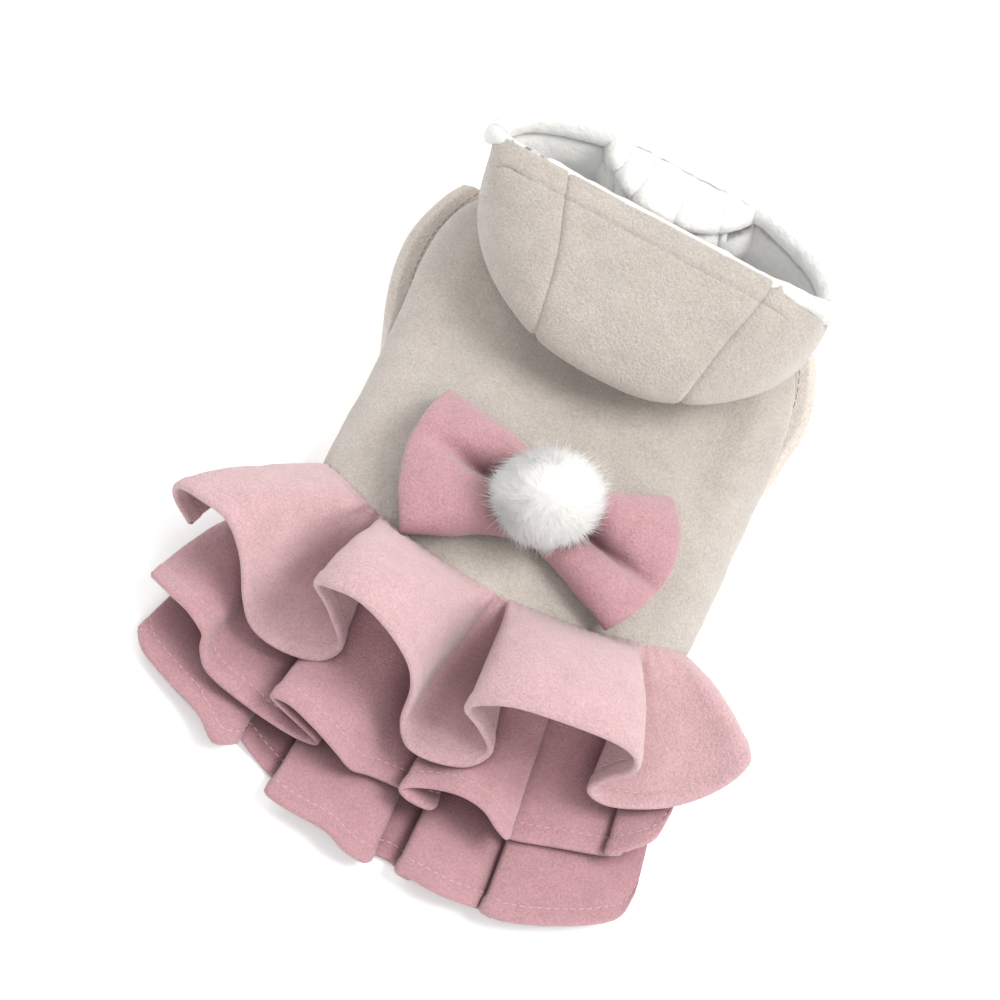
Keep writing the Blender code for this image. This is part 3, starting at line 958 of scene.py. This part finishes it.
def thread_material(name, colour):
    """Plain twisted thread."""
    material, tree, shader = fresh_material(name)
    place = joined(tree, "ShaderNodeTexCoord", (-900, 0))
    strands = joined(tree, "ShaderNodeTexNoise", (-650, 0), Scale=2600.0, Detail=2.0)
    mix = joined(tree, "ShaderNodeMix", (-350, 0), data_type="RGBA")
    mix.inputs[6].default_value = (*colour, 1.0)
    mix.inputs[7].default_value = (*shaded(colour, 0.8), 1.0)
    tree.links.new(place.outputs["Object"], strands.inputs["Vector"])
    tree.links.new(strands.outputs["Fac"], mix.inputs["Factor"])
    tree.links.new(mix.outputs[2], shader.inputs["Base Color"])
    shader.inputs["Roughness"].default_value = 0.65
    return material


def finish_piece(piece, slot, *nodes):
    """Puts a piece on the body and hides the part's pieces that it replaces."""
    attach(piece, "root")
    if nodes:
        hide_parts(*nodes)


class DOGDRESS_OT_bodice(bpy.types.Operator):
    """Makes the bodice's back and belly, with the armholes' stitched hems"""

    bl_idname = "dog_dress.bodice"
    bl_label = "Bodice"

    def execute(self, context):
        _, colours = settings()
        rows, columns = 116, 144
        grid = []
        for i in range(rows):
            line = []
            for j in range(columns):
                t = 1 - 2 * j / (columns - 1)
                across = power(math.sin(t * math.pi / 2), 2.3)
                start = waist_y(across) - 0.0016
                end = NECK_LINE + NECK_SLANT * across
                point = back_point(t, start + (end - start) * i / (rows - 1))
                line.append(point)
            grid.append(line)

        def rumple(i, j, point):
            edge = i / (rows - 1)
            pucker = 0.0002 * math.sin(point.x * 1100 + 3 * drift(point, 0.02, 2))
            pucker *= 1 - ease(edge, 0.0, 0.07)
            return -pucker + 0.0009 * drift(point, 0.030, 1) + 0.00035 * drift(point, 0.011, 5)

        grid = pushed(grid, rumple)
        back = sheet_piece("back_cloth", grid, 0.0, SHEET, beige_wool())
        finish_piece(back, "back_wool", "back_panel")
        rows, flat_columns, turned = 90, 104, 12
        grid = []
        hems = {-1: [], 1: []}
        for i in range(rows):
            line = []
            for j in range(-turned, flat_columns + turned):
                t = min(max(-1 + 2 * j / (flat_columns - 1), -1.0), 1.0)
                end = NECK_LINE + NECK_SLANT * power(math.sin(t * math.pi / 2), 4.5)
                y = BELLY_EDGE + (end - BELLY_EDGE) * i / (rows - 1)
                point = belly_point(t, y)
                past = max(-j, j - flat_columns + 1, 0) / turned
                if past:
                    opened = min(strap(y, t) / 0.006, 1.0)
                    width = 0.002 + (STRAP_HEM + 0.001) * opened
                    point.x -= math.copysign(width * past, t)
                    point.z += 0.0021 * min(past * 3, 1.0) - 0.0010 * past * opened
                    if abs(past - 0.75) < 0.02:
                        hems[int(math.copysign(1, t))].append((point.copy(), opened))
                line.append(point)
            grid.append(line)
        belly = sheet_piece("belly_cloth", grid, 0.0, SHEET, painted_light_strap_wool())
        finish_piece(belly, "belly_wool", "belly_panel")
        lines = []
        for spots in hems.values():
            line = [point for point, opened in spots if opened > 0.25]
            lines.append((line, [Vector((0, 0, 1))] * len(line), 0.0019))
        brown = (colours.beige[0] * 0.62, colours.beige[1] * 0.56, colours.beige[2] * 0.5)
        thread = stitch_piece("armhole_stitches", lines, thread_material("armhole thread", brown))
        finish_piece(thread, "belly_wool")
        return {"FINISHED"}


class DOGDRESS_OT_hood(bpy.types.Operator):
    """Makes the hood's three wool panels, their hem band and the fleece lining with its gathered throat"""

    bl_idname = "dog_dress.hood"
    bl_label = "Hood"

    def execute(self, context):
        _, colours = settings()
        rows = 100
        table = [spline(HOOD, i / (rows - 1)) for i in range(rows)]
        left, right = seam_angle(LEFT_SEAM), seam_angle(RIGHT_SEAM)
        # The side panels meet at the throat, turned a little towards the bunch
        throat = 2 * math.pi * BUNCH_CENTRE * 0.1
        spans = (
            ("hood_cloth_left", -math.pi + throat, left, 150, "hood_wool_left", "hood_panel_left"),
            ("hood_cloth_centre", left, right, 110, "hood_wool_centre", "hood_panel_centre"),
            ("hood_cloth_right", right, math.pi + throat, 140, "hood_wool_right", "hood_panel_right"),
        )
        stitching = []
        flats = ((0.112, 0.130), (0.090, 0.100), (0.108, 0.130))
        for (name, start, end, columns, slot, node), flat in zip(spans, flats):
            angles = [start + (end - start) * j / (columns - 1) for j in range(columns)]
            hidden = [turned_out(angle, WOOL_EARLY) for angle in angles]
            grid = []
            for i in range(rows):
                up = i / (rows - 1)
                line = []
                for out, angle in zip(hidden, angles):
                    low = WOOL_LOWERED * out + WOOL_LOWERED_BUNCH * gathered(angle)
                    point = hood_point(spline(HOOD, up * (1 - low)), angle)
                    point.y -= BUNCH_DEPTH * 0.12 * gathered(angle) * ease(up, 0.7, 1.0)
                    line.append(point)
                grid.append(line)
            ways = normals_of(grid)
            lengths = [line_lengths([line[j] for line in grid]) for j in range(columns)]
            sides = [line_lengths(line) for line in grid]

            def relief(i, j, point):
                below_rim = lengths[j][-1] - lengths[j][i]
                from_left = sides[i][j]
                from_right = sides[i][-1] - sides[i][j]
                dip = SEAM_DIP * groove(from_left, 0.0021) + SEAM_DIP * groove(from_right, 0.0021)
                hemmed = 1 - hidden[j]
                band = 0.0005 * (1 - ease(below_rim, RIM_HEM - 0.0008, RIM_HEM + 0.0008)) * hemmed
                line_dip = 0.0005 * groove(below_rim - RIM_HEM, 0.0009) * hemmed
                slow = 0.0011 * drift(point, 0.030, 3) + 0.0004 * drift(point, 0.012, 9)
                return -(band - dip - line_dip + slow) + 0.0002

            grid = pushed(grid, relief)
            piece = sheet_piece(name, grid, *HOOD_WOOL, beige_wool())
            finish_piece(piece, slot, node)
            line, line_ways = [], []
            for j in range(columns):
                if hidden[j] > 0.15:
                    continue
                i = hem_row(lengths[j], RIM_HEM)
                line.append(grid[i][j])
                line_ways.append(-ways[i][j])
            stitching.append((line, line_ways, 0.0019))
        look = thread_material("beige thread", tuple(colours.beige))
        thread = stitch_piece("hood_stitches", stitching, look)
        finish_piece(thread, "hood_wool_centre")
        angles = uneven_turns(LINING_COLUMNS)
        walls = [row for row in table if row[6] < table[-1][6] - WALL_BELOW_RIM]
        grid = []
        for i, row in enumerate(walls + [None] * ROLL_ROWS):
            line = []
            for angle in angles:
                far = turned_out(angle)
                if row:
                    up = i / rows
                    point = hood_point(row, angle)
                else:
                    up = len(walls) / rows
                    up += (1 - up) * min((i - len(walls) + 1) / 15, 1.0)
                    share = (i - len(walls)) / (ROLL_ROWS - 1)
                    inside, high, near_inside, near_high = spline(RIM_ROLL, share)
                    inside = near_inside + (inside - near_inside) * far
                    high = near_high + (high - near_high) * far
                    point = hood_point(table[-1], angle)
                    out = Vector((math.sin(angle), -math.cos(angle), 0))
                    point += Vector((0, 0, high)) - out * inside
                swell = gathered(angle)
                if swell:
                    share = (math.sin(angle) - BUNCH_CENTRE) / BUNCH_HALF
                    fold = 0.0
                    for middle, width, deep in BUNCH_FOLDS:
                        off = abs(share - middle - FOLD_LEAN * (1 - up)) / width
                        fold += deep * math.exp(-(off**1.4))
                    top = ease(up, 0.86, 1.0)
                    high = ease(up, 0.28, 0.76)
                    fold *= min(swell * 2, 1.0) * high * (1 - top)
                    point.y -= BUNCH_DEPTH * swell * high * (1 - 0.88 * top) - fold * 0.5
                    point.z += BUNCH_LIFT * swell * ease(up, 0.45, 0.80) * (1 - top) - fold * 0.9
                line.append(point)
            grid.append(line)

        def fluff(i, j, point):
            on_wall = 1 - ease(i / len(walls), 0.84, 1.0)
            tufts = 0.0006 * drift(point, 0.0045, 4) + 0.0007 * drift(point, 0.018, 6)
            return WALL_INSET * on_wall + tufts * (1 - 0.4 * on_wall)

        grid = pushed(grid, fluff, around=True)
        for i, line in enumerate(grid[: len(walls)]):
            inset = SIDE_INSET * (1 - ease(i / len(walls), 0.70, 1.0))
            for point, angle in zip(line, angles):
                point.x -= math.copysign(inset * abs(math.sin(angle)) ** 8, math.sin(angle))
        lining = sheet_piece("lining_fleece", grid, *HOOD_FLEECE, white_fleece(), around=True)
        finish_piece(lining, "fleece", "hood_lining")
        return {"FINISHED"}


class DOGDRESS_OT_skirt(bpy.types.Operator):
    """Makes the three ruffle tiers with their thick turned hems and topstitching"""

    bl_idname = "dog_dress.skirt"
    bl_label = "Ruffle skirt"

    def execute(self, context):
        _, colours = settings()
        plans = (
            (TIER_1, 400, 54, "ruffle_top", "pink_wool_top", "skirt_tier_1", (0.480, 0.045)),
            (TIER_2, 340, 62, "ruffle_middle", "pink_wool_middle", "skirt_tier_2", (0.360, 0.056)),
            (TIER_3, 290, 70, "ruffle_bottom", "pink_wool_bottom", "skirt_tier_3", (0.300, 0.070)),
        )
        stitching = []
        for tier, (table, columns, rows, name, slot, node, flat) in enumerate(plans):
            fine = 1200
            hem = [hem_point(spline(table, k / fine)) for k in range(fine + 1)]
            places = even_steps(hem, columns)
            picks = [spline(table, place) for place in places]
            grid = [[tier_point(row, i / (rows - 1), tier) for row in picks] for i in range(rows)]
            ways = normals_of(grid)
            lengths = [line_lengths([line[j] for line in grid]) for j in range(columns)]

            def relief(i, j, point):
                from_seam = lengths[j][i]
                above_hem = lengths[j][-1] - from_seam
                pucker = 0.00018 * math.sin(picks[j][0] * 120 + 4 * drift(point, 0.02, 2))
                pucker *= 1 - ease(from_seam, 0.003, 0.016)
                slow = 0.0008 * drift(point, 0.022, 11 + tier) * ease(from_seam, 0.004, 0.02)
                small = 0.0003 * drift(point, 0.008, 21 + tier) * ease(above_hem, 0.0, 0.004)
                return pucker + slow + small

            grid = pushed(grid, relief)

            def fullness(i, j):
                above_hem = lengths[j][-1] - lengths[j][i]
                band = 0.38 * (1 - ease(above_hem, SKIRT_HEM - 0.0006, SKIRT_HEM + 0.0010))
                line = 0.30 * groove(above_hem - SKIRT_HEM, 0.0007)
                return 0.62 + band - line

            wool = pink_wool(name + " wool", RUFFLE_PAINTED_SHADES[tier])
            piece = sheet_piece(name, grid, HALF_RUFFLE, HALF_RUFFLE, wool, full=fullness)
            finish_piece(piece, slot, node)
            line, line_ways = [], []
            for j in range(columns):
                i = hem_row(lengths[j], SKIRT_HEM)
                line.append(grid[i][j])
                line_ways.append(ways[i][j])
            stitching.append((line, line_ways, 0.0007))
            stitching.append((line, [-way for way in line_ways], 0.0007))
        look = thread_material("pink thread", tuple(colours.pink))
        thread = stitch_piece("skirt_stitches", stitching, look)
        finish_piece(thread, "pink_wool_top")
        return {"FINISHED"}


def bow_point(u, v):
    """A point of the bow's upper face: u runs across it, v up it, both from -1 to 1."""
    side = abs(u)
    top_x, top_y, low_x, low_y = spline(BOW_EDGES, (u + 1) / 2)
    share = (v + 1) / 2
    x = low_x + (top_x - low_x) * share
    y = low_y + (top_y - low_y) * share
    x += math.copysign(BOW_BULGE[u > 0] * (1 - v * v) * ease(side, 0.45, 1.0), u)
    line = 0.02 + 0.22 * side if u < 0 else 0.16 - 0.46 * side
    near = 1 - ease(side, 0.50, 1.0 if u < 0 else 1.25)
    from_line = abs(v - line)
    sharp = 0.62 * math.exp(-((from_line / 0.13) ** 1.5))
    wide = 0.38 * math.exp(-((from_line / 0.38) ** 2))
    crease = BOW_CREASE * near * (sharp + wide)
    dome = (1 - min(abs(v), 1.0) ** 4) ** 0.5
    end = (1 - max(side - 0.72, 0.0) / 0.28 * 0.999) ** 0.4
    pad = BOW_PAD * (0.55 + 0.45 * ease(side, 0.10, 0.50))
    z = BOW_BASE + pad * dome * (0.35 + 0.65 * end) - crease
    z -= 0.0012 * side**4 * abs(v) ** 3
    return Vector((x, y, z))


def puffed(piece, cap):
    """Inflates a piece with a short cloth simulation, moving no point further than cap, and applies it."""
    only(piece)
    before = [vert.co.copy() for vert in piece.data.vertices]
    cloth = piece.modifiers.new("Puff", "CLOTH")
    cloth.settings.use_pressure = True
    cloth.settings.uniform_pressure_force = 4.0
    cloth.settings.effector_weights.gravity = 0.0
    scene = bpy.context.scene
    for frame_number in range(1, 21):
        scene.frame_set(frame_number)
    bpy.ops.object.modifier_apply(modifier=cloth.name)
    for vert, start in zip(piece.data.vertices, before):
        step = vert.co - start
        if step.length > cap:
            vert.co = start + step * (cap / step.length)
    scene.frame_set(1)


class DOGDRESS_OT_bow(bpy.types.Operator):
    """Makes the padded pink bow, pinched in the middle"""

    bl_idname = "dog_dress.bow"
    bl_label = "Bow"

    def execute(self, context):
        columns, rows = 72, 40
        work = bmesh.new()
        top, under = [], []
        for i in range(columns + 1):
            u = -1 + 2 * i / columns
            upper, lower = [], []
            for j in range(rows + 1):
                v = -1 + 2 * j / rows
                point = bow_point(u * 0.99, v * 0.99)
                rim = max(abs(u) ** 14, abs(v) ** 9)
                thick = 0.0036 * (1 - rim) + 0.0024 * rim
                upper.append(work.verts.new(point + Vector((0, 0, 0.0010))))
                if 0 < i < columns and 0 < j < rows:
                    lower.append(work.verts.new(point - Vector((0, 0, thick))))
                else:
                    lower.append(None)
            top.append(upper)
            under.append(lower)
        for i in range(columns):
            for j in range(rows):
                work.faces.new((top[i][j], top[i + 1][j], top[i + 1][j + 1], top[i][j + 1]))
                corners = []
                for a, b in ((i, j), (i, j + 1), (i + 1, j + 1), (i + 1, j)):
                    corners.append(under[a][b] or top[a][b])
                work.faces.new(corners)
        bmesh.ops.recalc_face_normals(work, faces=work.faces)
        bow = placed("bow_band", work, pink_wool("bow wool", BOW_PAINTED_SHADE))
        for vert in bow.data.vertices:
            vert.co += SETTLED
        puffed(bow, 0.0012)
        only(bow)
        smooth = bow.modifiers.new("Smooth", "SUBSURF")
        smooth.levels = 1
        smooth.render_levels = 1
        bpy.ops.object.modifier_apply(modifier=smooth.name)
        shape = bow.data
        moves = [vert.normal * (0.0004 * drift(vert.co, 0.010, 31)) for vert in shape.vertices]
        for vert, move in zip(shape.vertices, moves):
            vert.co += move
        smoothed(bow)
        finish_piece(bow, "pink_wool_bow", "bow")
        return {"FINISHED"}


def fur_material():
    """Fine white fur with painted light: it glows a little, and lets most shadow rays through so it casts
    little shade on itself.
    """
    _, colours = settings()
    material, tree, shader = fresh_material("white fur")
    place = joined(tree, "ShaderNodeTexCoord", (-900, 0))
    patch = joined(tree, "ShaderNodeTexNoise", (-650, 0), Scale=220.0, Detail=3.0)
    mix = joined(tree, "ShaderNodeMix", (-350, 0), data_type="RGBA")
    mix.inputs[6].default_value = (*colours.fur, 1.0)
    mix.inputs[7].default_value = (*shaded(colours.fur, 0.88), 1.0)
    tree.links.new(place.outputs["Object"], patch.inputs["Vector"])
    tree.links.new(patch.outputs["Fac"], mix.inputs["Factor"])
    tree.links.new(mix.outputs[2], shader.inputs["Base Color"])
    shader.inputs["Roughness"].default_value = 0.6
    shader.inputs["Sheen Weight"].default_value = 0.2
    shader.inputs["Specular IOR Level"].default_value = 0.2
    # Painted light: the fur glows a little by emission
    glowing(shader, (1.0, 1.0, 0.985), 0.20)
    # Painted light: most shadow rays pass through the fur, so it casts little shade on itself
    light_path = joined(tree, "ShaderNodeLightPath", (0, 500))
    share = joined(tree, "ShaderNodeMath", (250, 450), operation="MULTIPLY")
    share.inputs[1].default_value = 0.8
    tree.links.new(light_path.outputs["Is Shadow Ray"], share.inputs[0])
    clear = joined(tree, "ShaderNodeBsdfTransparent", (250, -100))
    both = joined(tree, "ShaderNodeMixShader", (500, 200))
    tree.links.new(share.outputs[0], both.inputs[0])
    tree.links.new(shader.outputs[0], both.inputs[1])
    tree.links.new(clear.outputs[0], both.inputs[2])
    tree.links.new(both.outputs[0], tree.nodes["Material Output"].inputs["Surface"])
    return material


def scatter(seeded):
    """A random vector that favours no direction."""
    return Vector((seeded.gauss(0, 1), seeded.gauss(0, 1), seeded.gauss(0, 1)))


class DOGDRESS_OT_pompom(bpy.types.Operator):
    """Makes the fur pompom: a soft core under thousands of fine tapering strands that lie in locks"""

    bl_idname = "dog_dress.pompom"
    bl_label = "Fur pompom"

    def execute(self, context):
        sizes, _ = settings()
        work = bmesh.new()
        centre = Vector(POMPOM_CENTRE)
        seat = centre.z - POMPOM_SEAT
        core = POMPOM_RADIUS - 0.0050
        bmesh.ops.create_icosphere(work, subdivisions=5, radius=core)
        for vert in work.verts:
            way = vert.co.normalized()
            vert.co = way * (core + 0.0008 * noise.noise(way * 6)) + centre
            vert.co.z = max(vert.co.z, seat + 0.0006)
        seeded = random.Random(7)
        whorls = []
        for _ in range(26):
            way = scatter(seeded).normalized()
            whorls.append((way, scatter(seeded)))
        count = sizes.fur_strands
        for k in range(count):
            z = 1 - 2 * (k + 0.5) / count
            turn = k * 2.399963
            ring = math.sqrt(max(1 - z * z, 0.0))
            way = Vector((ring * math.cos(turn), ring * math.sin(turn), z))
            way = (way + scatter(seeded) * 0.012).normalized()
            if centre.z + way.z * core < seat + 0.0010:
                continue
            comb = Vector()
            for spot, lean in whorls:
                comb += lean * math.exp(-(1 - way.dot(spot)) * 18)
            comb = comb - way * comb.dot(way)
            if comb.length > 0.75:
                comb = comb * (0.75 / comb.length)
            fray = scatter(seeded) * 0.16
            heading = (way + comb * 0.9 + fray).normalized()
            span = (1.10, 1.40) if k % 17 == 0 else (0.60, 0.96)
            length = sizes.fur_length * seeded.uniform(*span)
            width = seeded.uniform(0.00010, 0.00018)
            start = centre + way * (core - 0.0006)
            bend = (comb + fray) * 0.5
            side = heading.cross(scatter(seeded)).normalized()
            other = heading.cross(side).normalized()
            rings = []
            for share in (0.0, 0.5):
                spot = start + way.lerp(heading, share) * (length * share)
                spot = spot + bend * (length * share * share * 0.55)
                spot.z = max(spot.z, seat + 0.0004)
                thick = width * (1 - share * 0.6)
                around = []
                for corner in range(3):
                    angle = 2.0944 * corner
                    edge = spot + side * (thick * math.cos(angle))
                    around.append(work.verts.new(edge + other * (thick * math.sin(angle))))
                rings.append(around)
            spot = start + heading * length + bend * (length * 0.55)
            spot.z = max(spot.z, seat + 0.0003)
            tip = work.verts.new(spot)
            for one, two in zip(rings, rings[1:]):
                for corner in range(3):
                    after = (corner + 1) % 3
                    work.faces.new((one[corner], one[after], two[after], two[corner]))
            for corner in range(3):
                work.faces.new((rings[-1][corner], rings[-1][(corner + 1) % 3], tip))
        for vert in work.verts:
            away = (vert.co - centre) * POMPOM_SCALE
            away -= POMPOM_FLAT * (away.dot(POMPOM_FLAT) * POMPOM_SQUASH)
            vert.co = centre + away
            vert.co.z = max(vert.co.z - (1 - POMPOM_SCALE) * POMPOM_SEAT * 0.8, seat)
            vert.co += SETTLED
        pompom = placed("pompom_fur", work, fur_material())
        middle = centre + SETTLED
        ways = []
        for vert in pompom.data.vertices:
            rough = noise.noise_vector(vert.co * 420) * 0.34 + noise.noise_vector(vert.co * 140) * 0.12
            ways.append(((vert.co - middle).normalized() + rough).normalized())
        pompom.data.normals_split_custom_set_from_vertices(ways)
        finish_piece(pompom, "fur", "pompom")
        return {"FINISHED"}


def area_light(name, place, size, power_watts, colour):
    """Adds a soft square light that faces the dress."""
    light = bpy.data.lights.new(name, "AREA")
    light.shape = "SQUARE"
    light.size = size
    light.energy = power_watts
    light.color = colour
    lamp = bpy.data.objects.new(name, light)
    bpy.context.scene.collection.objects.link(lamp)
    lamp.location = place
    lamp.rotation_euler = (CAMERA_AIM - Vector(place)).to_track_quat("-Z", "Y").to_euler()


class DOGDRESS_OT_stage(bpy.types.Operator):
    """Makes the pale floor, the soft studio lights and the camera at the photo's angle"""

    bl_idname = "dog_dress.stage"
    bl_label = "Stage"

    def execute(self, context):
        _, colours = settings()
        work = bmesh.new()
        bmesh.ops.create_grid(work, x_segments=4, y_segments=4, size=6.0)
        material, _, shader = fresh_material("pale floor")
        shader.inputs["Base Color"].default_value = (*colours.floor, 1.0)
        shader.inputs["Roughness"].default_value = 0.9
        shader.inputs["Specular IOR Level"].default_value = 0.1
        glowing(shader, (1.0, 1.0, 1.0), 0.25)
        floor = placed("studio_floor", work, material)
        context.scene.view_settings.view_transform = "Standard"
        world = context.scene.world or bpy.data.worlds.new("studio")
        context.scene.world = world
        world.use_nodes = True
        sky = world.node_tree.nodes["Background"]
        sky.inputs["Color"].default_value = (1.0, 1.0, 1.0, 1.0)
        sky.inputs["Strength"].default_value = WORLD_LIGHT
        for light in LIGHTS:
            area_light(*light)
        camera = bpy.data.cameras.new("photo_camera")
        camera.lens = 150
        camera.sensor_width = 36
        camera.clip_start = 0.05
        holder = bpy.data.objects.new("photo_camera", camera)
        context.scene.collection.objects.link(holder)
        c, s = math.cos(PHOTO_TURN), math.sin(PHOTO_TURN)
        flat = Vector((0, math.sin(VIEW_TILT), math.cos(VIEW_TILT)))
        across = Vector((1, 0, 0))
        right = across * c + flat * s
        up = flat * c - across * s
        back = right.cross(up)
        turned = Matrix((right, up, back)).transposed()
        holder.matrix_world = Matrix.Translation(CAMERA_AIM + back * CAMERA_AWAY) @ turned.to_4x4()
        context.scene.camera = holder
        return {"FINISHED"}


class DOGDRESS_PT_panel(bpy.types.Panel):
    """Dog dress panel"""

    bl_label = "Dog dress"
    bl_idname = "DOGDRESS_PT_panel"
    bl_space_type = "VIEW_3D"
    bl_region_type = "UI"
    bl_category = "Dog dress"

    def draw(self, context):
        layout = self.layout
        sizes, colours = settings()
        for name in sizes.__annotations__:
            layout.prop(sizes, name)
        for name in colours.__annotations__:
            layout.prop(colours, name)
        for operator in OPERATORS:
            layout.operator(operator.bl_idname)


OPERATORS = (
    DOGDRESS_OT_bodice,
    DOGDRESS_OT_hood,
    DOGDRESS_OT_skirt,
    DOGDRESS_OT_bow,
    DOGDRESS_OT_pompom,
    DOGDRESS_OT_stage,
)
CLASSES = (DressSizes, DressColours) + OPERATORS + (DOGDRESS_PT_panel,)


def register():
    for kind in CLASSES:
        bpy.utils.register_class(kind)
    bpy.types.Scene.dog_dress_sizes = bpy.props.PointerProperty(type=DressSizes)
    bpy.types.Scene.dog_dress_colours = bpy.props.PointerProperty(type=DressColours)


def unregister():
    del bpy.types.Scene.dog_dress_colours
    del bpy.types.Scene.dog_dress_sizes
    for kind in reversed(CLASSES):
        bpy.utils.unregister_class(kind)


def main():
    """Builds the whole dress."""
    register()
    bpy.ops.dog_dress.stage()
    bpy.ops.dog_dress.bodice()
    bpy.ops.dog_dress.hood()
    bpy.ops.dog_dress.skirt()
    bpy.ops.dog_dress.bow()
    bpy.ops.dog_dress.pompom()


if __name__ == "__main__":
    main()
